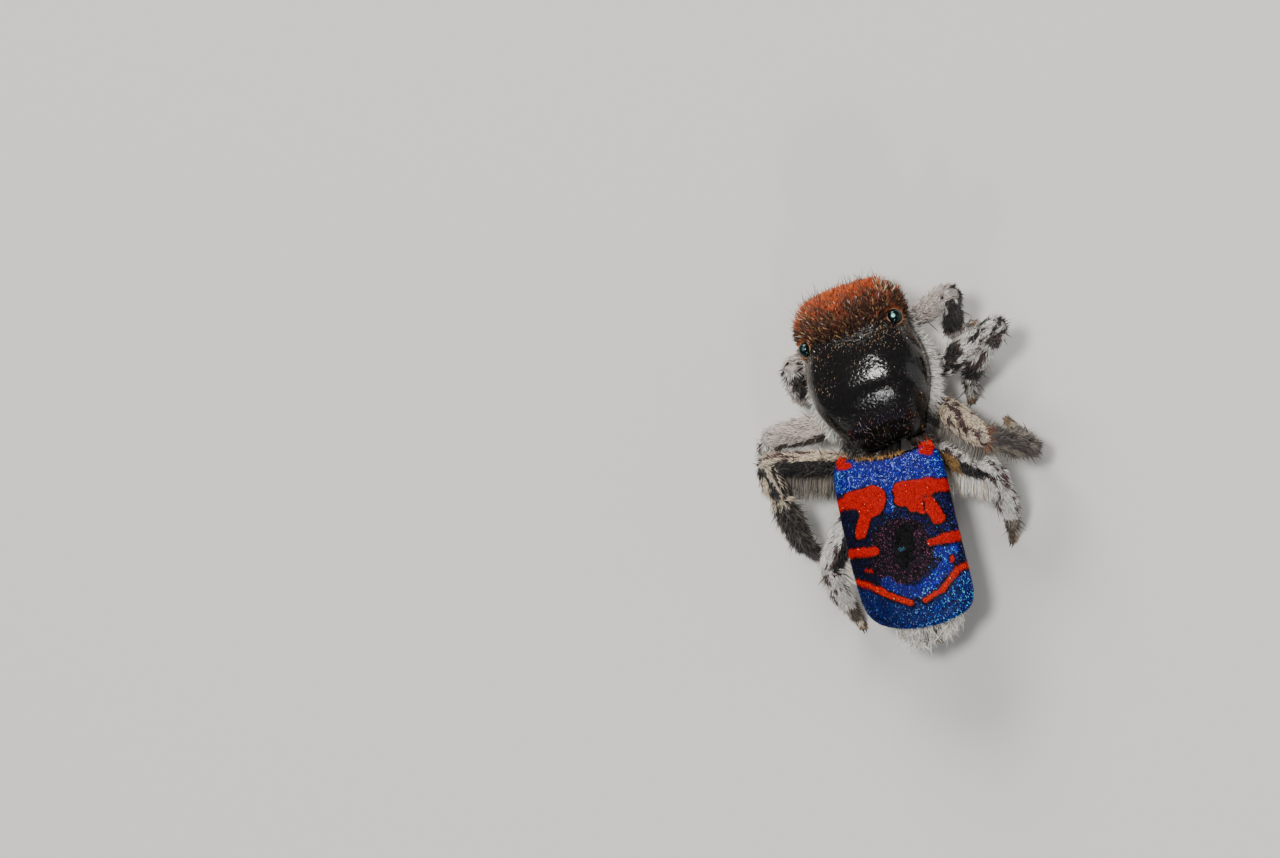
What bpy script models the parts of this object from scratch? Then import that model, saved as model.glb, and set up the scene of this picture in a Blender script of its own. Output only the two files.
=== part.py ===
# Peacock spider, adult male, standing still, at life size.
# The head points to -Y, the back is +Z, the spider's right is -X and the feet rest on z = 0.
# Sizes are in millimetres. Each finished piece is turned to metres in one place, to_metres.

import math
import random

import bmesh
import bpy
import numpy
from mathutils import Matrix, Vector

# Driving sizes, in millimetres
MM = 0.001
GAP = 0.02                  # left between pieces that meet
SINK = 0.05                 # how far a lock's root goes under the surface
LOCK_FLATNESS = 0.4         # thickness of a lock as a share of its width

MIDDLE_X = -0.024           # middle of the whole spider, which is set over the origin
MIDDLE_Y = 0.221
HEAD_FRONT = -1.94          # flat of the face
NECK = 0.0                  # rear end of the carapace
SHELL_FLOOR = 0.74          # lower margin of the carapace
EYE_ROW_REAR = -1.36        # the two rear eyes
HEAD_TURN = 3.0             # degrees that the head is turned to the spider's left

ABDOMEN_FRONT = 0.12
ABDOMEN_REAR = 2.52
ABDOMEN_ASIDE = 0.08        # the abdomen is swung a little to the spider's left
PLATE_HALF_WIDTH = 0.73
PLATE_FRONT = 0.12
PLATE_REAR = 2.40
PLATE_HOLLOW = 0.14         # how far the front edge draws back behind the neck
PLATE_SWELL = 0.14          # how far the rear edge swells at its middle
PLATE_SKEW = 0.13           # how far the left side lies ahead of the right, for each millimetre
PLATE_EDGE = 0.13           # thickness of the plate's folded rim

BLOCK_FRONT = -1.70         # the part between the legs, under the carapace
BLOCK_REAR = -0.12
BLOCK_FLOOR = 0.48

FOOT_LEVEL = 0.036          # height of a foot's middle, its flat is at z = 0
FOOT_RADIUS = 0.055

# Carapace sections: place along the body, half width, half width at the floor, top, floor
SHELL = (
    (HEAD_FRONT, 0.47, 0.41, 1.34, 0.82),
    (-1.90, 0.58, 0.50, 1.42, 0.76),
    (-1.76, 0.655, 0.56, 1.51, SHELL_FLOOR),
    (EYE_ROW_REAR, 0.69, 0.61, 1.61, SHELL_FLOOR),
    (-0.88, 0.775, 0.75, 1.64, SHELL_FLOOR),
    (-0.45, 0.70, 0.68, 1.50, SHELL_FLOOR),
    (-0.18, 0.54, 0.52, 1.20, SHELL_FLOOR),
    (-0.04, 0.44, 0.42, 0.99, 0.76),
    (NECK, 0.34, 0.32, 0.93, 0.79),
)

# Abdomen sections under the plate, in the same order
BELLY = (
    (ABDOMEN_FRONT, 0.20, 0.20, 0.82, 0.58),
    (0.22, 0.34, 0.32, 1.02, 0.52),
    (0.60, 0.47, 0.44, 1.16, 0.44),
    (1.30, 0.53, 0.50, 1.22, 0.42),
    (1.95, 0.50, 0.47, 1.18, 0.48),
    (2.36, 0.40, 0.38, 1.08, 0.60),
    (ABDOMEN_REAR, 0.24, 0.23, 0.98, 0.74),
)

# Eyes: half spacing, place along the body, height, radius
EYES = {
    "front_middle": (0.225, -1.870, 1.150, 0.213),
    "front_side": (0.560, -1.815, 1.235, 0.112),
    "small_side": (0.640, -1.600, 1.330, 0.034),
    "rear_side": (0.605, EYE_ROW_REAR, 1.410, 0.102),
}

# Legs, front to rear: radii of the femur, the patella and tibia, the metatarsus, the tarsus
THICKNESS = (
    (0.158, 0.138, 0.080, 0.062),
    (0.186, 0.142, 0.080, 0.062),
    (0.176, 0.140, 0.080, 0.058),
    (0.184, 0.142, 0.080, 0.058),
)

# The stance: hip, knee, ankle and the foot's place on the ground
STANCE = {
    "leg_1_right": ((-0.56, -1.60, 0.50), (-1.24, -1.58, 1.10), (-1.00, -1.30, 0.40), (-1.20, -1.44)),
    "leg_2_right": ((-0.67, -0.84, 0.46), (-1.75, -0.96, 1.12), (-1.09, -0.64, 0.50), (-0.93, -0.48)),
    "leg_3_right": ((-0.62, -0.44, 0.50), (-1.25, 0.44, 1.26), (-1.70, 0.56, 0.62), (-1.32, -0.08)),
    "leg_4_right": ((-0.48, 0.18, 0.50), (-1.25, 0.82, 1.05), (-1.20, 1.24, 0.48), (-1.03, 1.46)),
    "leg_1_left": ((0.60, -1.48, 0.48), (1.02, -1.32, 0.98), (1.12, -1.08, 0.40), (1.26, -1.42)),
    "leg_2_left": ((0.67, -0.58, 0.44), (1.52, -0.50, 0.94), (1.74, -0.28, 0.38), (1.84, 0.10)),
    "leg_3_left": ((0.64, -0.02, 0.42), (1.60, -0.10, 1.20), (1.47, 0.90, 0.66), (1.36, 1.02)),
    "leg_4_left": ((0.52, 0.20, 0.46), (1.15, 1.38, 0.92), (1.14, 1.74, 0.46), (1.12, 1.96)),
}
COXA_REAR = -0.14           # no hip starts further back than this, clear of the waist
KNEE_SHARE = 0.42           # patella's share of the way from knee to ankle
KNEE_ARCH = 0.07            # how far the patella arches above that way
FOOT_SHARE = 0.56           # metatarsus' share of the way from ankle to foot

# Share along a segment and share of its thickness
FEMUR_FORM = ((0.0, 0.52), (0.10, 0.76), (0.34, 1.0), (0.70, 0.96), (0.93, 0.84), (1.0, 0.70))
PATELLA_FORM = ((0.0, 0.84), (0.15, 0.96), (0.55, 1.06), (0.90, 0.94), (1.0, 0.66))
TIBIA_FORM = ((0.0, 0.62), (0.10, 0.88), (0.40, 1.0), (0.80, 0.86), (0.95, 0.74), (1.0, 0.60))
SLIM_FORM = ((0.0, 0.80), (0.12, 1.0), (0.60, 0.92), (0.92, 0.86), (1.0, 0.66))
COXA_FORM = ((0.0, 0.60), (0.15, 0.92), (0.50, 1.0), (0.85, 0.92), (1.0, 0.66))

COLOURS = {
    "shell": ((0.012, 0.010, 0.010), 0.22),
    "dark_skin": ((0.045, 0.035, 0.032), 0.55),
    "pale_hair": ((0.62, 0.54, 0.46), 0.75),
    "plate": ((0.05, 0.08, 0.55), 0.35),
    "eye": ((0.004, 0.004, 0.005), 0.04),
}


def start():
    for thing in list(bpy.data.objects):
        bpy.data.objects.remove(thing, do_unlink=True)
    spider = bpy.data.collections.new("peacock_spider")
    bpy.context.scene.collection.children.link(spider)
    return spider


def make_materials():
    made = {}
    for name, (colour, roughness) in COLOURS.items():
        material = bpy.data.materials.new(name)
        material.use_nodes = True
        shader = material.node_tree.nodes["Principled BSDF"]
        shader.inputs["Base Color"].default_value = (*colour, 1.0)
        shader.inputs["Roughness"].default_value = roughness
        shader.inputs["Metallic"].default_value = 0.0
        made[name] = material
    return made


def blend_rows(rows, place):
    """A row of sizes at a place between the given rows, on a smooth curve."""
    table = numpy.array(rows, dtype=float)
    x = table[:, 0]
    slopes = numpy.gradient(table, x, axis=0)
    i = int(numpy.clip(numpy.searchsorted(x, place) - 1, 0, len(x) - 2))
    span = x[i + 1] - x[i]
    t = min(1.0, max(0.0, (place - x[i]) / span))
    first = (1 + 2 * t) * (1 - t) ** 2
    second = t * (1 - t) ** 2 * span
    third = t * t * (3 - 2 * t)
    fourth = t * t * (t - 1) * span
    return first * table[i] + second * slopes[i] + third * table[i + 1] + fourth * slopes[i + 1]


def rounded(value, power):
    """Cosine or sine bent towards a box by a power of 2 or more."""
    return math.copysign(abs(value) ** (2.0 / power), value)


def closed_form(sides, rings, place):
    """An object from a ball whose rings and poles are moved to place(ring, angle)."""
    form = bmesh.new()
    bmesh.ops.create_uvsphere(form, u_segments=sides, v_segments=rings, radius=1.0)
    for corner in form.verts:
        height = max(-1.0, min(1.0, corner.co.z))
        ring = round(math.acos(height) / math.pi * rings)
        angle = math.atan2(corner.co.y, corner.co.x)
        corner.co = place(ring, angle)
    face_outwards(form)
    return to_object(form)


def face_outwards(form):
    bmesh.ops.recalc_face_normals(form, faces=form.faces)
    if form.calc_volume(signed=True) < 0:
        bmesh.ops.reverse_faces(form, faces=form.faces)


def to_object(form):
    mesh = bpy.data.meshes.new("piece")
    form.to_mesh(mesh)
    form.free()
    piece = bpy.data.objects.new("piece", mesh)
    return piece


def cut_away(piece, point, outward):
    """Cuts off what lies beyond a plane and closes the cut."""
    form = bmesh.new()
    form.from_mesh(piece.data)
    everything = form.verts[:] + form.edges[:] + form.faces[:]
    bmesh.ops.bisect_plane(
        form, geom=everything, dist=1e-6, plane_co=point, plane_no=outward, clear_outer=True
    )
    rim = [edge for edge in form.edges if edge.is_boundary]
    bmesh.ops.holes_fill(form, edges=rim, sides=0)
    face_outwards(form)
    form.to_mesh(piece.data)
    form.free()


def across(direction):
    """Two directions square to the given one, the second as high as it goes."""
    direction = direction.normalized()
    up = Vector((0, 0, 1))
    if abs(direction.z) > 0.97:
        up = Vector((0, -1, 0))
    side = direction.cross(up).normalized()
    return side, side.cross(direction).normalized()


def body_surface(rows, place, angle, power, low_power):
    """A point on a body form at a place along it; angle 90 degrees is the top."""
    _, half, low_half, top, floor = blend_rows(rows, place)
    middle = floor + 0.42 * (top - floor)
    c, s = math.cos(angle), math.sin(angle)
    used = power if s >= 0 else low_power
    reach = top - middle if s >= 0 else middle - floor
    height = reach * rounded(s, used)
    width = half if s >= 0 else half + (low_half - half) * -height / reach
    return Vector((width * rounded(c, used), place, middle + height))


def body_form(rows, sides, rings, power, low_power):
    front, rear = rows[0][0], rows[-1][0]

    def place(ring, angle):
        share = (1 - math.cos(math.pi * (ring - 1) / (rings - 2))) / 2
        if ring in (0, rings):
            row = rows[0] if ring == 0 else rows[-1]
            return Vector((0, row[0], (row[3] + row[4]) / 2))
        return body_surface(rows, front + (rear - front) * share, angle, power, low_power)

    return closed_form(sides, rings, place)


def limb(start_point, end_point, form, radius, sides=10, before=0.0, after=0.0):
    """A round, tapered length between two points, run on past either end."""
    start_point, end_point = Vector(start_point), Vector(end_point)
    way = end_point - start_point
    length = way.length
    direction = way / length
    side, high = across(direction)
    rings = len(form) + 1

    def place(ring, angle):
        share, wide = form[min(max(ring - 1, 0), len(form) - 1)]
        spot = share * length
        if ring <= 1:
            spot -= before
        if ring >= rings - 1:
            spot += after
        middle = start_point + direction * spot
        if ring in (0, rings):
            return middle
        return middle + (side * math.cos(angle) + high * math.sin(angle)) * radius * wide

    return closed_form(sides, rings, place)


def globe(centre, radius, sides=12, rings=8, squash=(1.0, 1.0, 1.0)):
    centre = Vector(centre)

    def place(ring, angle):
        tilt = math.pi * ring / rings
        return centre + radius * Vector((
            math.sin(tilt) * math.cos(angle) * squash[0],
            math.sin(tilt) * math.sin(angle) * squash[1],
            math.cos(tilt) * squash[2],
        ))

    return closed_form(sides, rings, place)


def lock_spine(root, lie, out, length, curl, share):
    """Middle of a lock at a share of its length; it starts under the surface."""
    return root + lie * length * share + out * (curl * length * share ** 2 - SINK * (1 - share) ** 2)


def lock(root, lie, out, length, width, curl=0.0, sides=4, rings=3):
    """A flat tapered lock that follows lie and curls towards out."""
    lie, out = lie.normalized(), out.normalized()
    wide = lie.cross(out).normalized()
    thick = wide.cross(lie).normalized()

    def place(ring, angle):
        share = ring / rings
        size = width * (1 - share ** 1.8) if ring > 0 else 0.0
        flat = wide * math.cos(angle) + thick * LOCK_FLATNESS * math.sin(angle)
        return lock_spine(root, lie, out, length, curl, share) + flat * size

    return closed_form(sides, rings, place)


def far_from(spot, start_point, end_point):
    """Distance from a spot to the line between two points."""
    way = end_point - start_point
    share = (spot - start_point).dot(way) / way.length_squared
    return (spot - start_point - way * min(1.0, max(0.0, share))).length


def clear_lock(root, lie, out, length, width, curl, lengths, walls):
    """A lock as a list of one, or an empty list where it would meet a neighbouring length."""
    lie, out = lie.normalized(), out.normalized()
    for share in (0.25, 0.5, 0.75, 1.0):
        spot = lock_spine(root, lie, out, length, curl, share)
        for start_point, end_point, radius in lengths:
            if far_from(spot, start_point, end_point) < radius + width + GAP:
                return []
        for point, outward in walls:
            if (spot - point).dot(outward) > -width - GAP:
                return []
    return [lock(root, lie, out, length, width, curl)]


def largest_surface(form):
    """Keeps only the closed surface with the most faces."""
    waiting = set(form.faces)
    groups = []
    while waiting:
        stack = [waiting.pop()]
        group = list(stack)
        while stack:
            for edge in stack.pop().edges:
                for face in edge.link_faces:
                    if face in waiting:
                        waiting.discard(face)
                        group.append(face)
                        stack.append(face)
        groups.append(group)
    groups.sort(key=len, reverse=True)
    for group in groups[1:]:
        bmesh.ops.delete(form, geom=group, context="FACES")


def combine(base, others, operation):
    """One Boolean of a piece with a collection of closed pieces, applied."""
    if not others:
        return base
    crowd = bpy.data.collections.new("joined")
    bpy.context.scene.collection.children.link(crowd)
    bpy.context.scene.collection.objects.link(base)
    for piece in others:
        crowd.objects.link(piece)
    step = base.modifiers.new(operation.lower(), "BOOLEAN")
    step.operation = operation
    step.operand_type = "COLLECTION"
    step.collection = crowd
    step.solver = "MANIFOLD"
    bpy.context.view_layer.update()
    seen = base.evaluated_get(bpy.context.evaluated_depsgraph_get())
    mesh = bpy.data.meshes.new_from_object(seen)
    result = bpy.data.objects.new("piece", mesh)
    for piece in [base, *others]:
        bpy.data.objects.remove(piece, do_unlink=True)
    bpy.data.collections.remove(crowd)
    return result


def to_metres(name, piece, material, spider):
    """Names the finished piece, turns it to metres and gives it its material."""
    form = bmesh.new()
    form.from_mesh(piece.data)
    largest_surface(form)
    bmesh.ops.triangulate(form, faces=form.faces)
    face_outwards(form)
    form.to_mesh(piece.data)
    form.free()
    piece.data.transform(Matrix.Scale(MM, 4) @ Matrix.Translation((-MIDDLE_X, -MIDDLE_Y, 0)))
    piece.data.materials.clear()
    piece.data.materials.append(material)
    piece.data.shade_smooth()
    piece.data.set_sharp_from_angle(angle=math.radians(50))
    piece.name = name
    piece.data.name = name
    spider.objects.link(piece)
    return piece


def add_carapace(spider, materials):
    """The black shell with its sockets and the orange cap of short locks."""
    shell = body_form(SHELL, 24, 18, 2.5, 5.0)
    sockets = []
    for spacing, place, height, radius in EYES.values():
        for side in (-1, 1):
            sockets.append(globe((side * spacing, place, height), radius + GAP, 12, 8))
    shell = combine(shell, sockets, "DIFFERENCE")
    shell = combine(shell, cap_locks(), "UNION")
    shell.data.transform(turn_head())
    to_metres("carapace", shell, materials["shell"], spider)


def turn_head():
    """The head's turn about the neck."""
    return Matrix.Rotation(math.radians(HEAD_TURN), 4, "Z")


def near_eye(spot, reach):
    for spacing, place, height, radius in EYES.values():
        for side in (-1, 1):
            centre = Vector((side * spacing, place, height))
            if (spot - centre).length < radius + reach:
                return True
    return False


CAP_ROWS = 7
CAP_IN_ROW = 10
CAP_SIDE = 35               # degrees from the side to the first lock of a row
CAP_LOCK_LENGTH = 0.23
CAP_LOCK_WIDTH = 0.068


def cap_locks():
    """Rows of short locks from the rear eyes to the front edge, leaning forward."""
    draw = random.Random(4)
    made = []
    for row in range(CAP_ROWS):
        place = EYE_ROW_REAR + 0.02 - (EYE_ROW_REAR - HEAD_FRONT - 0.03) * row / (CAP_ROWS - 1)
        for i in range(CAP_IN_ROW):
            share = (i + 0.25 + 0.5 * (row % 2) + draw.uniform(-0.15, 0.15)) / CAP_IN_ROW
            angle = math.radians(CAP_SIDE + (180 - 2 * CAP_SIDE) * share)
            root = body_surface(SHELL, place, angle, 2.5, 5.0)
            out = surface_out(SHELL, place, angle, 2.5, 5.0)
            length = CAP_LOCK_LENGTH * draw.uniform(0.75, 1.2)
            lie = out * 0.7 + Vector((draw.uniform(-0.3, 0.3) + 0.2 * root.x, -1.0, 0.0))
            lie.normalize()
            spots = (root, root + lie * length * 0.5, root + lie * length * 0.8)
            if any(near_eye(spot, 0.055) for spot in spots):
                continue
            made.append(lock(root, lie, out, length, CAP_LOCK_WIDTH, -0.22))
    return made


def surface_out(rows, place, angle, power, low_power):
    """The outward direction of a body form."""
    step = 0.02
    here = body_surface(rows, place, angle, power, low_power)
    on = body_surface(rows, place, angle + step, power, low_power) - here
    rear = min(place + step, rows[-1][0])
    front = max(place - step, rows[0][0])
    length = body_surface(rows, rear, angle, power, low_power)
    length = length - body_surface(rows, front, angle, power, low_power)
    out = on.cross(length)
    middle = Vector((0, place, (rows[0][3] + rows[0][4]) / 2))
    if out.dot(here - middle) < 0:
        out = -out
    return out.normalized()


def add_eyes(spider, materials):
    for kind, (spacing, place, height, radius) in EYES.items():
        sides, rings = (14, 10) if radius > 0.15 else (10, 7)
        for side, word in ((-1, "right"), (1, "left")):
            eye = globe((side * spacing, place, height), radius, sides, rings)
            eye.data.transform(turn_head())
            to_metres("eye_" + kind + "_" + word, eye, materials["eye"], spider)


def coxa_root(name):
    hip = STANCE[name][0]
    return Vector((hip[0] * 0.34, min(hip[1] * 0.78 - 0.18, COXA_REAR), hip[2] + 0.06))


def cut_normal(first, second):
    """Middle direction of two lengths that meet, for the cut between them."""
    return (first.normalized() + second.normalized()).normalized()


def leg_points(name):
    """Hip, knee, end of the patella, ankle, end of the metatarsus, foot."""
    hip, knee, ankle, (foot_x, foot_y) = STANCE[name]
    hip, knee, ankle = Vector(hip), Vector(knee), Vector(ankle)
    foot = Vector((foot_x, foot_y, FOOT_LEVEL))
    patella = knee.lerp(ankle, KNEE_SHARE) + Vector((0, 0, KNEE_ARCH))
    wrist = ankle.lerp(foot, FOOT_SHARE)
    wrist.z -= 0.02
    return hip, knee, patella, ankle, wrist, foot


def add_under_body(spider, materials):
    """Breast plate, mouth parts and the eight hips in one piece under the carapace."""
    top = SHELL_FLOOR - GAP
    rows = (
        (BLOCK_FRONT, 0.22, 0.20, top, 0.56),
        (BLOCK_FRONT + 0.2, 0.38, 0.34, top, BLOCK_FLOOR),
        (-0.9, 0.46, 0.40, top, BLOCK_FLOOR - 0.04),
        (-0.35, 0.36, 0.32, top, BLOCK_FLOOR),
        (BLOCK_REAR, 0.20, 0.18, top, 0.54),
    )
    block = body_form(rows, 16, 10, 5.0, 2.6)
    joined = []
    for name in STANCE:
        hip, knee = leg_points(name)[:2]
        root = coxa_root(name)
        coxa = limb(root, hip, COXA_FORM, 0.125, 8, 0.0, 0.1)
        outward = cut_normal(hip - root, knee - hip)
        cut_away(coxa, hip - outward * GAP / 2, outward)
        joined.append(coxa)
    for side in (-1, 1):
        palp = palp_points(side)
        root = palp_root(side)
        jaw = limb(root, palp[0], COXA_FORM, 0.095, 8, 0.0, 0.06)
        outward = cut_normal(palp[0] - root, palp[1] - palp[0])
        cut_away(jaw, palp[0] - outward * GAP / 2, outward)
        joined.append(jaw)
    under = combine(block, joined, "UNION")
    to_metres("sternum_and_hips", under, materials["dark_skin"], spider)


def palp_root(side):
    return turn_head() @ Vector((side * 0.16, -1.48, 0.60))


def palp_points(side):
    points = (
        (side * 0.36, -1.72, 0.60),
        (side * 0.43, -1.93, 0.61),
        (side * 0.42, -2.08, 0.52),
        (side * 0.32, -2.20, 0.24),
    )
    return [turn_head() @ Vector(point) for point in points]


def add_palps(spider, materials):
    draw = random.Random(21)
    for side, word in ((-1, "right"), (1, "left")):
        base, elbow, wrist, tip = palp_points(side)
        upper = limb(base, elbow, SLIM_FORM, 0.075, 8, 0.06, 0.02)
        root = palp_root(side)
        inward = -cut_normal(base - root, elbow - base)
        cut_away(upper, base - inward * GAP / 2, inward)
        joined = [
            limb(elbow, wrist, PATELLA_FORM, 0.082, 8, 0.03, 0.03),
            limb(wrist, tip, PATELLA_FORM, 0.098, 8, 0.03, 0.0),
        ]
        for i in range(9):
            share = 0.15 + 0.75 * i / 8
            way = (tip - wrist).normalized()
            outer = Vector((side * draw.uniform(0.3, 1.0), draw.uniform(-1.0, 0.1), 0.15))
            outer = (outer - way * outer.dot(way)).normalized()
            root = wrist.lerp(tip, share) + outer * 0.075
            joined.append(lock(root, way + outer * 0.45, outer, 0.15, 0.030, -0.1))
        to_metres("palp_" + word, combine(upper, joined, "UNION"), materials["pale_hair"], spider)


def add_chelicerae(spider, materials):
    for side, word in ((-1, "right"), (1, "left")):
        top = Vector((side * 0.145, -1.82, SHELL_FLOOR - GAP))
        jaw = limb(top, (side * 0.145, -1.91, 0.27), TIBIA_FORM, 0.13, 10, 0.1)
        cut_away(jaw, top, Vector((0, 0, 1)))
        jaw.data.transform(turn_head())
        to_metres("chelicera_" + word, jaw, materials["dark_skin"], spider)


def add_pedicel(spider, materials):
    """The narrow waist, cut square to meet the body before and behind it."""
    start_point = Vector((0, BLOCK_REAR + GAP, 0.62))
    end_point = Vector((ABDOMEN_ASIDE / 2, ABDOMEN_FRONT - GAP, 0.66))
    stalk = limb(start_point, end_point, SLIM_FORM, 0.085, 10, 0.05, 0.05)
    cut_away(stalk, start_point, Vector((0, -1, 0)))
    cut_away(stalk, end_point, Vector((0, 1, 0)))
    to_metres("pedicel", stalk, materials["dark_skin"], spider)


def plate_height(x, y):
    """Top of the plate: a low arch along the body, drooping at the sides."""
    share = (y - PLATE_FRONT) / (PLATE_REAR - PLATE_FRONT)
    arch = 1.15 + 0.15 * math.sin(math.pi * min(1.0, max(0.0, share))) ** 0.8
    return arch - 0.09 * abs(x / PLATE_HALF_WIDTH) ** 3


def plate_outline(angle, scale):
    """A rounded oblong set askew, hollow at the front for the neck and swollen at the rear."""
    middle = (PLATE_FRONT + PLATE_REAR) / 2
    half = (PLATE_REAR - PLATE_FRONT) / 2
    x = PLATE_HALF_WIDTH * rounded(math.cos(angle), 7.0) * scale
    y = middle + half * rounded(math.sin(angle), 7.0) * scale
    share = (y - PLATE_FRONT) / (PLATE_REAR - PLATE_FRONT)
    inward = scale * max(0.0, math.cos(math.pi * x / 1.3))
    if math.sin(angle) < 0:
        y += PLATE_HOLLOW * inward * (1 - share) ** 4
    else:
        y += PLATE_SWELL * inward * share ** 4
    return x, y - PLATE_SKEW * x


# Rings of the plate from its middle over the rim to the middle of its underside: scale, drop
PLATE_RINGS = (
    (0.0, 0.0), (0.45, 0.0), (0.80, 0.0), (0.96, -0.01), (1.0, -0.05),
    (0.99, -PLATE_EDGE), (0.85, -PLATE_EDGE), (0.45, -PLATE_EDGE), (0.0, -PLATE_EDGE),
)
REAR_TUFTS = 16
FRONT_TUFTS = 15


def add_abdomen(spider, materials):
    """Belly, patterned plate, white tufts at the rear and the short fringe at the front."""
    aside = Vector((ABDOMEN_ASIDE, 0, 0))
    body = body_form(BELLY, 20, 14, 2.3, 2.2)
    body.data.transform(Matrix.Translation(aside))

    def place(ring, angle):
        scale, drop = PLATE_RINGS[ring]
        x, y = plate_outline(angle, scale)
        return Vector((x, y, plate_height(x, y) + drop)) + aside

    plate = closed_form(32, len(PLATE_RINGS) - 1, place)
    draw = random.Random(8)
    up = Vector((0, 0, 1))
    tufts = []
    for i in range(REAR_TUFTS):
        share = (i + 0.5 + draw.uniform(-0.3, 0.3)) / REAR_TUFTS
        angle = math.radians(-40 + 260 * share)
        x, z = 0.28 * math.cos(angle), 0.88 + 0.13 * math.sin(angle)
        lie = Vector((x * 1.1 + draw.uniform(-0.15, 0.15), 1.0, 0.5 * (z - 0.85)))
        root = Vector((x, ABDOMEN_REAR - 0.09 - 0.15 * abs(x), z)) + aside
        tufts.append(lock(root, lie, up, draw.uniform(0.28, 0.38), 0.050, -0.15))
    for i in range(FRONT_TUFTS):
        x = -0.42 + 0.84 * (i + 0.5) / FRONT_TUFTS
        place = PLATE_FRONT + PLATE_HOLLOW + 0.05 - PLATE_SKEW * x
        root = Vector((x, place, plate_height(x, place) - 0.01)) + aside
        lie = Vector((draw.uniform(-0.35, 0.35), -1.0, 0.30))
        tufts.append(lock(root, lie, up, draw.uniform(0.13, 0.18), 0.050, -0.2))
    whole = combine(body, [plate, *tufts], "UNION")
    to_metres("abdomen", whole, materials["plate"], spider)


def add_spinnerets(spider, materials):
    base = Vector((ABDOMEN_ASIDE, ABDOMEN_REAR + GAP, 0.84))
    hub = limb(base, base + Vector((0, 0.07, 0)), SLIM_FORM, 0.12, 8)
    joined = []
    for x, z, size in ((0.06, 0.05, 0.040), (0.07, -0.06, 0.036)):
        for side in (-1, 1):
            root = base + Vector((side * x, 0.03, z))
            end = root + Vector((side * 0.02, 0.15, -0.02))
            joined.append(limb(root, end, SLIM_FORM, size, 6))
    to_metres("spinnerets", combine(hub, joined, "UNION"), materials["dark_skin"], spider)


# Locks of a leg by its number, femur and tibia: how many, first and last share of the length,
# turn and spread in degrees (-90 is the underside, None is all round), lean, length, half width
FEMUR_LOCKS = {
    2: (9, 0.68, 0.80, None, 12, 0.35, 0.16, 0.045),
    3: (11, 0.28, 0.82, -90, 22, 0.75, 0.26, 0.030),
    4: (11, 0.28, 0.82, -90, 22, 0.75, 0.24, 0.030),
}
TIBIA_LOCKS = {
    1: (8, 0.20, 0.78, -90, 55, 0.50, 0.14, 0.032),
    2: (8, 0.20, 0.78, -90, 55, 0.50, 0.15, 0.032),
    3: (22, 0.12, 0.78, None, 10, 0.34, 0.21, 0.052),
    4: (8, 0.20, 0.78, -90, 55, 0.50, 0.14, 0.032),
}
ROUND_TURN = 137.5          # degrees from one lock to the next where they go all round


def leg_locks(rows, number, start_point, end_point, radius, lengths, walls, draw):
    """Locks along one length of a leg, none of them into the lengths beside it."""
    made = []
    if number not in rows:
        return made
    count, first, last, turn, spread, lean, length, width = rows[number]
    way = (end_point - start_point).normalized()
    side, high = across(way)
    for i in range(count):
        share = first + (last - first) * i / (count - 1)
        degrees = ROUND_TURN * i if turn is None else turn
        angle = math.radians(degrees + draw.uniform(-spread, spread))
        out = side * math.cos(angle) + high * math.sin(angle)
        root = start_point.lerp(end_point, share) + out * radius * 0.86
        lie = way * (1 - lean) + out * lean
        long = length * draw.uniform(0.85, 1.15)
        made += clear_lock(root, lie, out, long, width, 0.08, lengths, walls)
    return made


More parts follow.
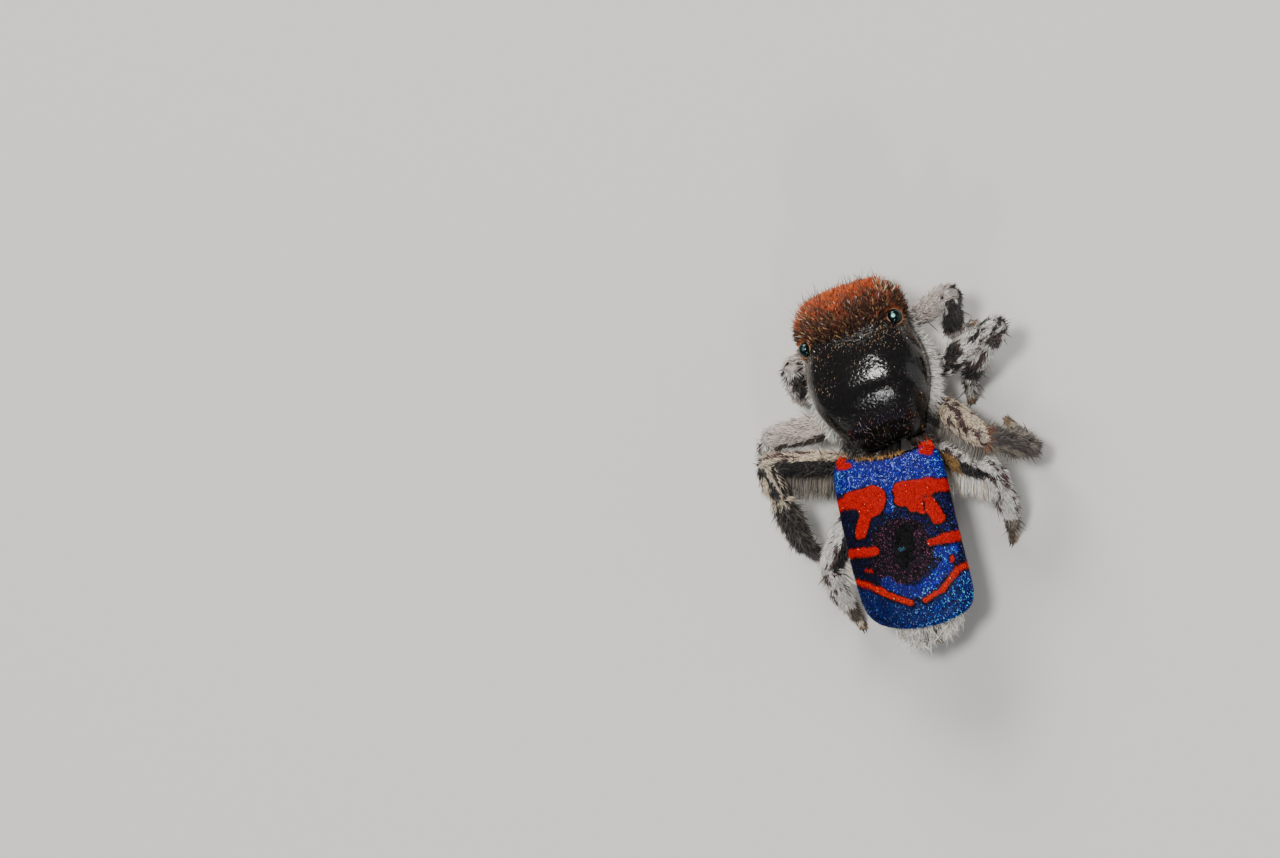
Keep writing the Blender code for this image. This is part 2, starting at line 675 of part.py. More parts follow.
def add_leg(name, spider, materials):
    """Femur, patella with tibia, and metatarsus with tarsus, cut to meet face to face."""
    number = int(name.split("_")[1])
    femur_r, tibia_r, slim_r, tarsus_r = THICKNESS[number - 1]
    hip, knee, patella, ankle, wrist, foot = leg_points(name)
    root = coxa_root(name)
    at_hip = cut_normal(hip - root, knee - hip)
    at_knee = cut_normal(knee - hip, patella - knee)
    at_ankle = cut_normal(ankle - patella, wrist - ankle)
    draw = random.Random(number if name.endswith("left") else number + 10)
    upper, kneecap_length = (hip, knee, femur_r), (knee, patella, tibia_r)
    lower, slim_length = (patella, ankle, tibia_r), (ankle, wrist, slim_r)

    femur = limb(hip, knee, FEMUR_FORM, femur_r, 12, 0.10, 0.16)
    cut_away(femur, hip + at_hip * GAP / 2, -at_hip)
    cut_away(femur, knee - at_knee * GAP / 2, at_knee)
    lengths, walls = (kneecap_length, lower), ((knee, at_knee),)
    locks = leg_locks(FEMUR_LOCKS, number, hip, knee, femur_r, lengths, walls, draw)
    to_metres(name + "_femur", combine(femur, locks, "UNION"), materials["pale_hair"], spider)

    kneecap = limb(knee, patella, PATELLA_FORM, tibia_r, 12, 0.14, 0.05)
    cut_away(kneecap, knee + at_knee * GAP / 2, -at_knee)
    shin = limb(patella, ankle, TIBIA_FORM, tibia_r, 12, 0.05, 0.08)
    cut_away(shin, ankle - at_ankle * GAP / 2, at_ankle)
    cut_away(shin, knee + at_knee * GAP / 2, -at_knee)
    lengths, walls = (upper, slim_length), ((knee, -at_knee), (ankle, at_ankle))
    locks = leg_locks(TIBIA_LOCKS, number, patella, ankle, tibia_r, lengths, walls, draw)
    shin = combine(kneecap, [shin, *locks], "UNION")
    kind = "dark_skin" if number == 3 else "pale_hair"
    to_metres(name + "_tibia", shin, materials[kind], spider)

    slim = limb(ankle, wrist, SLIM_FORM, slim_r, 8, 0.06, 0.03)
    cut_away(slim, ankle + at_ankle * GAP / 2, -at_ankle)
    tarsus = limb(wrist, foot, SLIM_FORM, tarsus_r, 8, 0.03, 0.0)
    slim = combine(slim, [tarsus, globe(foot, FOOT_RADIUS, 8, 5)], "UNION")
    cut_away(slim, Vector((0, 0, 0)), Vector((0, 0, -1)))
    slim = combine(slim, claws(wrist, foot), "UNION")
    to_metres(name + "_foot", slim, materials["pale_hair"], spider)


def claws(wrist, foot):
    way = foot - wrist
    way.z = 0
    way.normalize()
    beside = Vector((-way.y, way.x, 0))
    made = []
    for side in (-1, 1):
        root = foot + way * 0.035 + beside * side * 0.022
        made.append(lock(root, way + Vector((0, 0, 0.15)), Vector((0, 0, -1)), 0.085, 0.016, 0.2))
    return made


def main():
    spider = start()
    materials = make_materials()
    add_carapace(spider, materials)
    add_eyes(spider, materials)
    add_under_body(spider, materials)
    add_palps(spider, materials)
    add_chelicerae(spider, materials)
    add_pedicel(spider, materials)
    add_abdomen(spider, materials)
    add_spinnerets(spider, materials)
    for name in STANCE:
        add_leg(name, spider, materials)


main()
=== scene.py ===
import math

import bmesh
import bpy
import numpy as np
from mathutils import Matrix, Vector, noise


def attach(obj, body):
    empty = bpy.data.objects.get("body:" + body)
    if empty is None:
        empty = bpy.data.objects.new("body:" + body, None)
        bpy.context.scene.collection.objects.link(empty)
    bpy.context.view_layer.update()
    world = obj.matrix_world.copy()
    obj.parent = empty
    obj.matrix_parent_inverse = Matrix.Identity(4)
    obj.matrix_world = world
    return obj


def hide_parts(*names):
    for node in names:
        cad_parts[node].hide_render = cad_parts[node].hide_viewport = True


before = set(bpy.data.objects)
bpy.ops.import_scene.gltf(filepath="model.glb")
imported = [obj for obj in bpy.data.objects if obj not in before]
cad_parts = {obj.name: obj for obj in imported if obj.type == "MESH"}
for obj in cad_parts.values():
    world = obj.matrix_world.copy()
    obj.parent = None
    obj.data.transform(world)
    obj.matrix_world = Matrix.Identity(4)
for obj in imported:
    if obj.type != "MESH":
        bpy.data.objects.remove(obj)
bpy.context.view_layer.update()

# Peacock spider, adult male, at life size. The making is in millimetres in the spider's own
# frame: head to -Y, back +Z, the spider's right -X. finishPiece centres it and turns it to metres.
mm = 0.001
spiderMiddle = Vector((-0.024, 0.221, 0.0))   # middle of the whole animal in its own frame
headFront, neck, shellFloor, eyeRow = -1.94, 0.0, 0.74, -1.36
headTurn = Matrix.Rotation(math.radians(3.0), 4, "Z")    # the head looks a little to its left
plate = {
    "halfWidth": 0.73, "front": 0.12, "rear": 2.40, "aside": 0.08, "hollow": 0.14, "swell": 0.14,
    "skew": 0.13, "height": 1.15, "arch": 0.15, "bend": 0.09,
}


# camera, light, floor
cameraPlan = {
    "lookBack": (-0.25, 0.31, 0.917),     # from the spider to the camera
    "turn": 12.8,                         # degrees, the picture's roll
    "distance": 120.0,
    "pixel": 0.0126,                      # millimetres to one picture pixel
    "frameWidth": 1280,
    "sensor": 36.0,
    "waist": (0.0, 0.0, 0.95),            # the waist, and where it is from the picture's middle
    "waistOffset": (-3.15, 0.139),
}


def viewAxes():
    back = Vector(cameraPlan["lookBack"]).normalized()
    ahead = Vector((0, -1, 0))
    up = (ahead - back * ahead.dot(back)).normalized()
    right = up.cross(back)
    turn = math.radians(cameraPlan["turn"])
    pictureRight = right * math.cos(turn) - up * math.sin(turn)
    pictureUp = right * math.sin(turn) + up * math.cos(turn)
    return pictureRight, pictureUp, back


def setCamera():
    right, up, back = viewAxes()
    aside, above = cameraPlan["waistOffset"]
    aim = Vector(cameraPlan["waist"]) - spiderMiddle + right * aside + up * above
    data = bpy.data.cameras.new("pictureCamera")
    data.sensor_width = cameraPlan["sensor"]
    width = cameraPlan["frameWidth"] * cameraPlan["pixel"]
    data.lens = cameraPlan["sensor"] * cameraPlan["distance"] / width
    data.clip_start, data.clip_end = 0.002, 5.0
    camera = bpy.data.objects.new("pictureCamera", data)
    place = (aim + back * cameraPlan["distance"]) * mm
    camera.matrix_world = Matrix.Translation(place) @ Matrix((right, up, back)).transposed().to_4x4()
    bpy.context.scene.collection.objects.link(camera)
    bpy.context.scene.camera = camera


# softboxes: where each is in picture terms (right, up, back, mm), its size and its power in watts
lights = {
    "keyBox": {"at": (-32, 15, 110), "size": 22, "power": 0.094, "tint": (1.0, 0.98, 0.95)},
    "skyBox": {"at": (-62, 118, 30), "size": 80, "power": 0.17, "tint": (1.0, 0.97, 0.93)},
    "fillBox": {"at": (90, 14, 60), "size": 80, "power": 0.014, "tint": (0.86, 0.93, 1.0)},
    "lowBox": {"at": (4, -76, 78), "size": 16, "power": 0.026, "tint": (1.0, 1.0, 1.0)},
}


studio = {
    "aim": (0, 0, 0.8), "sky": (0.92, 0.94, 1.0, 1), "skyStrength": 0.20,
    "floorSize": 0.6, "floorColour": (0.72, 0.71, 0.68), "floorRoughness": 0.9,
}


def setLights():
    right, up, back = viewAxes()
    for name, plan in lights.items():
        data = bpy.data.lights.new(name, "AREA")
        data.shape = "DISK"
        data.size = plan["size"] * mm
        data.energy = plan["power"]
        data.color = plan["tint"]
        lamp = bpy.data.objects.new(name, data)
        x, y, z = plan["at"]
        offset = right * x + up * y + back * z
        lamp.matrix_world = Matrix.Translation((Vector(studio["aim"]) + offset) * mm)
        lamp.rotation_euler = offset.to_track_quat("Z", "Y").to_euler()
        bpy.context.scene.collection.objects.link(lamp)
    world = bpy.data.worlds.new("studio")
    world.use_nodes = True
    sky = world.node_tree.nodes["Background"]
    sky.inputs["Color"].default_value = studio["sky"]
    sky.inputs["Strength"].default_value = studio["skyStrength"]
    bpy.context.scene.world = world


def setFloor():
    form = bmesh.new()
    bmesh.ops.create_grid(form, x_segments=1, y_segments=1, size=studio["floorSize"])
    mesh = meshFrom(form, "studioFloor")
    mesh.materials.append(plainFinish("floorFinish", studio["floorColour"], studio["floorRoughness"]))
    floor = bpy.data.objects.new("studioFloor", mesh)
    bpy.context.scene.collection.objects.link(floor)


# finishes
def plainFinish(name, colour, roughness, metallic=0.0):
    finish = bpy.data.materials.new(name)
    finish.use_nodes = True
    shader = finish.node_tree.nodes["Principled BSDF"]
    shader.inputs["Base Color"].default_value = (*colour, 1)
    shader.inputs["Roughness"].default_value = roughness
    shader.inputs["Metallic"].default_value = metallic
    return finish


def addNode(tree, kind, values=None, **settings):
    node = tree.nodes.new("ShaderNode" + kind)
    for socket, value in (values or {}).items():
        node.inputs[socket].default_value = value
    for setting, value in settings.items():
        setattr(node, setting, value)
    return node


def tintedFinish(name, look):
    # colour from the piece's own tint, broken up by a fine noise, with a fine relief
    finish = plainFinish(name, (0.5, 0.5, 0.5), look["roughness"], look.get("metallic", 0.0))
    tree = finish.node_tree
    shader = tree.nodes["Principled BSDF"]
    tint = addNode(tree, "Attribute", attribute_name="tint")
    where = addNode(tree, "TexCoord")
    grain = addNode(tree, "TexNoise", {"Scale": 1 / (look["grain"] * mm), "Detail": 3})
    low, high = 1 - look["mottle"], 1 + look["mottle"]
    levels = addNode(tree, "MapRange", {"From Min": 0.3, "From Max": 0.7, "To Min": low, "To Max": high})
    broken = addNode(tree, "VectorMath", operation="MULTIPLY")
    wires = [
        (where.outputs["Object"], grain.inputs["Vector"]), (grain.outputs["Fac"], levels.inputs["Value"]),
        (tint.outputs["Color"], broken.inputs[0]), (levels.outputs["Result"], broken.inputs[1]),
        (broken.outputs["Vector"], shader.inputs["Base Color"]),
    ]
    if "relief" in look:
        bump = addNode(tree, "Bump", {"Strength": look["reliefShare"], "Distance": look["relief"] * mm})
        wires.append((grain.outputs["Fac"], bump.inputs["Height"]))
        wires.append((bump.outputs["Normal"], shader.inputs["Normal"]))
    for start, end in wires:
        tree.links.new(start, end)
    for socket in ("Specular IOR Level", "Sheen Weight"):
        if socket in look:
            shader.inputs[socket].default_value = look[socket]
    return finish


# forms
def blendRows(rows, place):
    # a row of sizes at a place between the given rows, on a smooth curve
    table = np.array(rows, dtype=float)
    x = table[:, 0]
    slopes = np.gradient(table, x, axis=0)
    i = int(np.clip(np.searchsorted(x, place) - 1, 0, len(x) - 2))
    span = x[i + 1] - x[i]
    t = min(1.0, max(0.0, (place - x[i]) / span))
    first = (1 + 2 * t) * (1 - t) ** 2
    second = t * (1 - t) ** 2 * span
    third = t * t * (3 - 2 * t)
    fourth = t * t * (t - 1) * span
    return first * table[i] + second * slopes[i] + third * table[i + 1] + fourth * slopes[i + 1]


def rounded(value, power):
    return math.copysign(abs(value) ** (2.0 / power), value)


# rows: place along the body, half width, half width at the floor, top, floor
shellRows = (
    (headFront, 0.47, 0.41, 1.34, 0.82), (-1.90, 0.58, 0.50, 1.42, 0.76),
    (-1.76, 0.655, 0.56, 1.51, shellFloor), (eyeRow, 0.69, 0.61, 1.61, shellFloor),
    (-0.88, 0.775, 0.75, 1.64, shellFloor), (-0.45, 0.70, 0.68, 1.50, shellFloor),
    (-0.18, 0.54, 0.52, 1.20, shellFloor), (-0.04, 0.44, 0.42, 0.99, 0.76),
    (neck, 0.34, 0.32, 0.93, 0.79),
)
bellyRows = (
    (0.12, 0.20, 0.20, 0.82, 0.58), (0.22, 0.34, 0.32, 1.02, 0.52),
    (0.60, 0.47, 0.44, 1.16, 0.44), (1.30, 0.53, 0.50, 1.22, 0.42),
    (1.95, 0.50, 0.47, 1.18, 0.48), (2.36, 0.40, 0.38, 1.08, 0.60),
    (2.52, 0.24, 0.23, 0.98, 0.74),
)
blockRows = (
    (-1.70, 0.22, 0.20, 0.74, 0.56), (-1.50, 0.38, 0.34, 0.76, 0.48),
    (-0.90, 0.46, 0.40, 0.78, 0.44), (-0.35, 0.36, 0.32, 0.76, 0.48),
    (-0.12, 0.20, 0.18, 0.74, 0.54),
)


def bodyPoint(rows, place, angle, power, lowPower):
    _, half, lowHalf, top, floor = blendRows(rows, place)
    middle = floor + 0.42 * (top - floor)
    c, s = math.cos(angle), math.sin(angle)
    reach = top - middle if s >= 0 else middle - floor
    height = reach * rounded(s, power if s >= 0 else lowPower)
    width = half if s >= 0 else half + (lowHalf - half) * -height / reach
    return Vector((width * rounded(c, power if s >= 0 else lowPower), place, middle + height))


def bodyPlace(rows, power, lowPower, aside=0.0, inset=0.0):
    # the body form as one function of the share round it and the share along it
    front, rear = rows[0][0], rows[-1][0]
    shift = Vector((aside, 0, 0))

    def place(u, v):
        along = front + (rear - front) * v
        spot = bodyPoint(rows, along, 2 * math.pi * u, power, lowPower) + shift
        if inset:
            _, _, _, top, floor = blendRows(rows, along)
            middle = Vector((aside, along, (top + floor) / 2))
            spot += (middle - spot).normalized() * inset
        return spot

    return place


shellPlace = bodyPlace(shellRows, 2.5, 5.0)
bellyPlace = bodyPlace(bellyRows, 2.3, 2.2, plate["aside"], 0.02)


def across(way):
    way = way.normalized()
    up = Vector((0, 0, 1)) if abs(way.z) < 0.97 else Vector((0, -1, 0))
    side = way.cross(up).normalized()
    return side, side.cross(way).normalized()


def limbPlace(start, end, profile, radius):
    start, end = Vector(start), Vector(end)
    way = end - start
    side, high = across(way)
    shares, sizes = zip(*profile)

    def place(u, v):
        wide = radius * float(np.interp(v, shares, sizes))
        turn = 2 * math.pi * u
        return start + way * v + (side * math.cos(turn) + high * math.sin(turn)) * wide

    return place


def movedBall(sides, rings, place):
    # a ball whose rings are moved to place(share round, share along), its poles to ring middles
    form = bmesh.new()
    bmesh.ops.create_uvsphere(form, u_segments=sides, v_segments=rings, radius=1.0)
    poles = []
    for corner in form.verts:
        ring = round(math.acos(max(-1.0, min(1.0, corner.co.z))) / math.pi * rings)
        if ring in (0, rings):
            poles.append(corner)
            continue
        turn = (math.atan2(corner.co.y, corner.co.x) / (2 * math.pi)) % 1.0
        corner.co = place(turn, (ring - 1) / (rings - 2))
    for corner in poles:
        ends = [edge.other_vert(corner).co for edge in corner.link_edges]
        corner.co = sum(ends, Vector()) / len(ends)
    faceOut(form)
    return form


def faceOut(form):
    bmesh.ops.recalc_face_normals(form, faces=form.faces)
    if form.calc_volume(signed=True) < 0:
        bmesh.ops.reverse_faces(form, faces=form.faces)


def meshFrom(form, name):
    mesh = bpy.data.meshes.new(name)
    form.to_mesh(mesh)
    form.free()
    return mesh


def joinForms(forms):
    # one bmesh that holds all the given ones, in their order
    whole = bmesh.new()
    for form in forms:
        mesh = meshFrom(form, "part")
        whole.from_mesh(mesh)
        bpy.data.meshes.remove(mesh)
    return whole


def addPiece(mesh, name, finish):
    piece = bpy.data.objects.new(name, mesh)
    mesh.name = name
    mesh.materials.clear()
    mesh.materials.append(finish)
    mesh.shade_smooth()
    bpy.context.scene.collection.objects.link(piece)
    return piece


def finishPiece(piece, nodes=(), onHead=False):
    toMetres = Matrix.Scale(mm, 4) @ Matrix.Translation(-spiderMiddle)
    piece.data.transform(toMetres @ headTurn if onHead else toMetres)
    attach(piece, "root")
    if nodes:
        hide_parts(*nodes)


def paint(mesh, colours):
    # one colour a corner point, kept as the tint that the finish reads
    layer = mesh.color_attributes.new(name="tint", type="FLOAT_COLOR", domain="POINT")
    four = np.ones((len(mesh.vertices), 4), np.float32)
    four[:, :3] = colours
    layer.data.foreach_set("color", four.ravel())


def spotsOf(mesh):
    spots = np.array([corner.co[:] for corner in mesh.vertices])
    outs = np.array([corner.vector[:] for corner in mesh.vertex_normals])
    return spots, outs


def cloud(spots, scale, seed):
    # a soft noise from 0 to 1 at each spot
    shift = Vector((seed, seed * 0.7, -seed))
    return np.array([noise.noise(Vector(spot) * scale + shift) for spot in spots]) * 0.5 + 0.5


# coats: many small tufts set on a surface
def surfaceOf(place, around, along):
    # the form's points, outward directions and lengthwise directions on an even net
    rows, columns = range(along + 1), range(around + 1)
    net = np.array([[place(i / around, j / along) for i in columns] for j in rows])
    aroundStep = np.gradient(net, axis=1)
    aroundStep[:, 0] = aroundStep[:, -1] = net[:, 1] - net[:, -2]
    alongStep = np.gradient(net, axis=0)
    out = np.cross(aroundStep, alongStep)
    out /= np.linalg.norm(out, axis=2, keepdims=True) + 1e-12
    middle = net.mean(axis=1, keepdims=True)
    if ((net - middle) * out).sum() < 0:
        out = -out
    alongStep /= np.linalg.norm(alongStep, axis=2, keepdims=True) + 1e-12
    return {"net": net, "out": out, "along": alongStep}


def scatter(surface, count, rng, keep=None, most=None):
    # roots spread evenly by area; keep(spots, outs) gives the chance of each one
    net = surface["net"]
    first = net[1:, :-1] - net[:-1, :-1]
    second = net[:-1, 1:] - net[:-1, :-1]
    area = np.linalg.norm(np.cross(first, second), axis=2)
    cell = rng.choice(area.size, size=count, p=area.ravel() / area.sum())
    j, i = np.unravel_index(cell, area.shape)
    fj, fi = rng.random(count), rng.random(count)

    def blend(grid):
        low = grid[j, i] * (1 - fi)[:, None] + grid[j, i + 1] * fi[:, None]
        high = grid[j + 1, i] * (1 - fi)[:, None] + grid[j + 1, i + 1] * fi[:, None]
        return low * (1 - fj)[:, None] + high * fj[:, None]

    roots = {"spot": blend(net)}
    for key in ("out", "along"):
        roots[key] = unit(blend(surface[key]))
    roots["uv"] = np.stack([(i + fi) / (net.shape[1] - 1), (j + fj) / (net.shape[0] - 1)], axis=1)
    if keep is not None:
        roots = only(roots, rng.random(count) < keep(roots["spot"], roots["out"]))
    if most is not None:
        roots = {key: value[:most] for key, value in roots.items()}
    roots["share"] = roots["uv"][:, 1].copy()
    return roots


def only(roots, mask):
    return {key: value[mask] for key, value in roots.items()}


def unit(rows):
    return rows / (np.linalg.norm(rows, axis=1, keepdims=True) + 1e-12)


def tuftShape(sides, levels):
    # a closed spindle up Z from 0 to 1, with a ring at each level below its tip
    form = bmesh.new()
    bmesh.ops.create_cone(
        form, cap_ends=True, segments=sides, radius1=1, radius2=1, depth=1,
        matrix=Matrix.Translation((0, 0, 0.5)),
    )
    for level in levels:
        everything = form.verts[:] + form.edges[:] + form.faces[:]
        bmesh.ops.bisect_plane(form, geom=everything, plane_co=(0, 0, level), plane_no=(0, 0, 1))
    tip = [corner for corner in form.verts if corner.co.z > 0.999]
    bmesh.ops.pointmerge(form, verts=tip, merge_co=(0, 0, 1))
    bmesh.ops.triangulate(form, faces=form.faces[:])
    faceOut(form)
    form.verts.index_update()
    corners = np.array([corner.co[:] for corner in form.verts])
    faces = np.array([[corner.index for corner in face.verts] for face in form.faces])
    form.free()
    return corners, faces


def growTufts(roots, look, rng):
    # every tuft bends along its lie; widths follow the look's outline
    corners, faces = tuftShape(look.get("sides", 3), look.get("levels", (0.5,)))
    count = len(roots["spot"])
    out = roots["out"]
    lie = roots.get("lie", roots["along"])
    if look.get("free"):      # the lie is kept as given, clear of the surface
        way = unit(unit(lie) + look["splay"] * 0.5 * rng.normal(size=(count, 3)))
        side = unit(np.cross(way, out) + 1e-6)
    else:
        lean = look["lean"] + look["leanSpread"] * rng.normal(size=(count, 1))
        lie = unit(lie - out * (lie * out).sum(axis=1, keepdims=True))
        side = np.cross(lie, out)
        splay = look["splay"] * rng.normal(size=(count, 1))
        way = unit(lie * (1 - lean) + out * lean + side * splay)
        side = unit(np.cross(way, out))
    thick = np.cross(side, way)
    if look.get("tilt"):
        roll = look["tilt"] * rng.normal(size=(count, 1))
        c, s = np.cos(roll), np.sin(roll)
        side, thick = side * c + thick * s, thick * c - side * s
    scale = roots["size"][:, None] if "size" in roots else 1.0
    spread = look.get("lengthSpread", 0.2)
    length = look["length"] * scale * np.clip(1 + spread * rng.normal(size=(count, 1)), 0.4, 1.8)
    width = look["width"] * (1 + 0.15 * rng.normal(size=(count, 1)))
    sway = look.get("sway", 0.1) * rng.normal(size=(count, 1))
    t = corners[:, 2]
    outline = np.interp(t, look["outlineAt"], look["outline"])
    spine = roots["spot"][:, None, :] - out[:, None, :] * (look["sink"] * (1 - t) ** 2)[None, :, None]
    spine = spine + way[:, None, :] * (length * t[None, :])[:, :, None]
    bend = out * look["curl"] + side * sway
    if "droop" in look:
        bend = bend + np.array((0.0, 0.0, -1.0)) * look["droop"]
    spine = spine + bend[:, None, :] * (length * (t ** 2)[None, :])[:, :, None]
    wide = (width * (corners[:, 0] * outline)[None, :])[:, :, None]
    deep = (width * look.get("flat", 1.0) * (corners[:, 1] * outline)[None, :])[:, :, None]
    points = spine + side[:, None, :] * wide + thick[:, None, :] * deep
    allFaces = faces[None] + (np.arange(count) * len(corners))[:, None, None]
    patch = 0.0015 * np.stack([corners[:, 0], 2 * t - 1], axis=1)
    uv = (roots["uv"] * 0.994 + 0.003)[:, None, :] + patch[None]
    shade = np.interp(t, (0, 1), look.get("shadeAlong", (0.75, 1.15)))
    tint = roots["tint"][:, None, :] * shade[None, :, None]
    return points.reshape(-1, 3), allFaces.reshape(-1, 3), uv.reshape(-1, 2), tint.reshape(-1, 3)


def coatPiece(name, grown, finish, onHead=False):
    start = 0
    for somePoints, someFaces, _, _ in grown:      # each lot's faces count on from the lots before it
        someFaces += start
        start += len(somePoints)
    points, faces, uvs, tints = (np.concatenate(rows) for rows in zip(*grown))
    points[:, 2] = np.maximum(points[:, 2], 0.004)      # no hair goes through the floor
    mesh = bpy.data.meshes.new(name)
    mesh.vertices.add(len(points))
    mesh.vertices.foreach_set("co", points.astype(np.float32).ravel())
    mesh.loops.add(faces.size)
    mesh.loops.foreach_set("vertex_index", faces.astype(np.int32).ravel())
    mesh.polygons.add(len(faces))
    mesh.polygons.foreach_set("loop_start", np.arange(0, faces.size, 3, dtype=np.int32))
    mesh.update(calc_edges=True)
    layer = mesh.uv_layers.new(name="OFBake")
    layer.data.foreach_set("uv", uvs[faces.ravel()].astype(np.float32).ravel())
    paint(mesh, tints)
    piece = addPiece(mesh, name, finish)
    finishPiece(piece, onHead=onHead)
    print(name, len(faces), "triangles")


def cellOf(roots, column, row, columns, rows):
    # a surface's own cell of the map, so that no two surfaces share a place
    uv = roots["uv"]
    low, high = uv.min(axis=0), uv.max(axis=0)
    inside = (uv - low) / (high - low + 1e-9) * 0.94 + 0.03
    roots["uv"] = (inside + np.array([column, row])) / np.array([columns, rows])


def speckle(rng, colour, spread, count):
    # one colour for each tuft, lighter or darker and a little off in hue
    light = np.exp(spread * rng.normal(size=(count, 1)))
    hue = 1 + 0.25 * spread * rng.normal(size=(count, 3))
    return np.array(colour) * light * hue


def mixTints(rng, count, choices):
    # each tuft takes one of the named tints; choices: (tint, share, spread)
    shares = np.array([share for _, share, _ in choices])
    drawn = rng.choice(len(choices), size=count, p=shares / shares.sum())
    colours = np.zeros((count, 3))
    for i, (tint, _, spread) in enumerate(choices):
        colours = np.where((drawn == i)[:, None], speckle(rng, tints[tint], spread, count), colours)
    return colours


def hairsOn(surface, look, rng, chance=None, tint=None, lie=None):
    # scatters the look's roots, tints and lays them, and grows a tuft on each
    roots = scatter(surface, look["tries"], rng, chance, look.get("most"))
    count = len(roots["spot"])
    roots["tint"] = tint(roots, rng) if tint else mixTints(rng, count, look["mix"])
    if lie is not None:
        roots["lie"] = lie(roots) if callable(lie) else np.tile(np.array(lie), (count, 1))
    if "cell" in look:
        cellOf(roots, *look["cell"])
    return growTufts(roots, look, rng)


tints = {
    "white": (0.90, 0.87, 0.82), "cream": (0.80, 0.67, 0.50), "pink": (0.76, 0.67, 0.62),
    "tan": (0.42, 0.26, 0.13), "amber": (0.34, 0.19, 0.05), "rust": (0.20, 0.075, 0.035),
    "plum": (0.085, 0.038, 0.038), "brown": (0.07, 0.043, 0.03), "black": (0.012, 0.010, 0.010),
    "grey": (0.24, 0.22, 0.20), "smoke": (0.085, 0.068, 0.062), "straw": (0.30, 0.25, 0.20),
    "gold": (0.46, 0.24, 0.08), "orange": (0.56, 0.115, 0.020), "red": (0.44, 0.045, 0.009),
    "umber": (0.050, 0.018, 0.009), "skin": (0.075, 0.055, 0.042),
    "belly": (0.13, 0.10, 0.08),
}
print("helpers ready")


# eyes
eyePlan = {
    "front_middle": {"spacing": 0.225, "place": -1.870, "height": 1.150, "radius": 0.213},
    "front_side": {"spacing": 0.560, "place": -1.815, "height": 1.235, "radius": 0.112},
    "small_side": {"spacing": 0.640, "place": -1.600, "height": 1.330, "radius": 0.034},
    "rear_side": {"spacing": 0.605, "place": eyeRow, "height": 1.410, "radius": 0.102},
}
lensLook = {
    # depth and spark: painted reflection in the rear eyes, a teal glow with a painted highlight at its heart
    "colour": (0.002, 0.0025, 0.004), "depth": (0.001, 0.035, 0.042), "spark": (0.50, 1.0, 0.92),
    "roughness": 0.02, "grain": 1.0, "mottle": 0.0, "bend": 1.45, "glint": (0.62, 1.0, 0.96, 1),
    "depthFrom": (0.91, 0.08), "sparkFrom": (0.972, 0.008),      # how squarely a spot faces, and the fade
    "aim": {"right": (-0.10, 0.10, 0.94), "left": (0.10, 0.10, 0.94)},
    # how strong the painted reflection is in each eye: faint in the left one, where less light falls
    "share": {"right": 1.0, "left": 0.10},
}
# the smooth rim round each of the rear eyes: its reach and thickness as shares of the eye's radius
rimLook = {
    "reach": 1.03, "thick": 0.085, "lift": 0.18, "colour": (0.36, 0.20, 0.12),
    "roughness": 0.45, "grain": 0.02, "mottle": 0.35,
}


def eyeCentres():
    for kind, plan in eyePlan.items():
        for sign, word in ((-1, "right"), (1, "left")):
            centre = Vector((sign * plan["spacing"], plan["place"], plan["height"]))
            yield kind, word, centre, plan["radius"]


def eyeAxis(kind, word):
    # the way that an eye looks, from its ring of hairs
    x, y, z = rings[kind][0]
    return Vector((x if word == "left" else -x, y, z)).normalized()


def makeEyes():
    lens = tintedFinish("lensFinish", lensLook)
    shader = lens.node_tree.nodes["Principled BSDF"]
    shader.inputs["IOR"].default_value = lensLook["bend"]
    shader.inputs["Specular Tint"].default_value = lensLook["glint"]
    for kind, word, centre, radius in eyeCentres():
        form = bmesh.new()
        bmesh.ops.create_uvsphere(
            form, u_segments=40, v_segments=28, radius=radius, matrix=Matrix.Translation(centre)
        )
        name = kind + "_" + word
        mesh = meshFrom(form, name)
        colours = np.tile(np.array(lensLook["colour"]), (len(mesh.vertices), 1))
        if kind == "rear_side":      # painted reflection: a teal glow where these eyes look up and back, with a painted highlight at its heart
            axis = Vector(lensLook["aim"][word]).normalized()
            facing = (spotsOf(mesh)[0] - np.array(centre)) @ np.array(axis) / radius
            for paintedGlow in ("depth", "spark"):
                start, fade = lensLook[paintedGlow + "From"]
                amount = lensLook["share"][word] * np.clip((facing - start) / fade, 0, 1)[:, None]
                colours += amount * np.array(lensLook[paintedGlow])
        paint(mesh, colours)
        piece = addPiece(mesh, "lens_" + name, lens)
        finishPiece(piece, ["eye_" + name], onHead=True)


def makeEyeRims():
    made = []
    for kind, word, centre, radius in eyeCentres():
        if kind != "rear_side":
            continue
        axis = eyeAxis(kind, word)
        form = bmesh.new()
        section = Matrix.Translation((radius * rimLook["reach"], 0, 0))
        section = section @ Matrix.Rotation(math.pi / 2, 4, "X")
        bmesh.ops.create_circle(form, segments=10, radius=radius * rimLook["thick"], matrix=section)
        bmesh.ops.spin(
            form, geom=form.edges[:], cent=(0, 0, 0), axis=(0, 0, 1), angle=2 * math.pi, steps=48,
            use_merge=True,
        )
        place = Matrix.Translation(centre + axis * radius * rimLook["lift"])
        place = place @ axis.to_track_quat("Z", "Y").to_matrix().to_4x4()
        bmesh.ops.transform(form, matrix=place, verts=form.verts)
        faceOut(form)
        made.append(form)
    mesh = meshFrom(joinForms(made), "rims")
    paint(mesh, np.tile(np.array(rimLook["colour"]), (len(mesh.vertices), 1)))
    piece = addPiece(mesh, "eyeRims", tintedFinish("rimFinish", rimLook))
    finishPiece(piece, onHead=True)


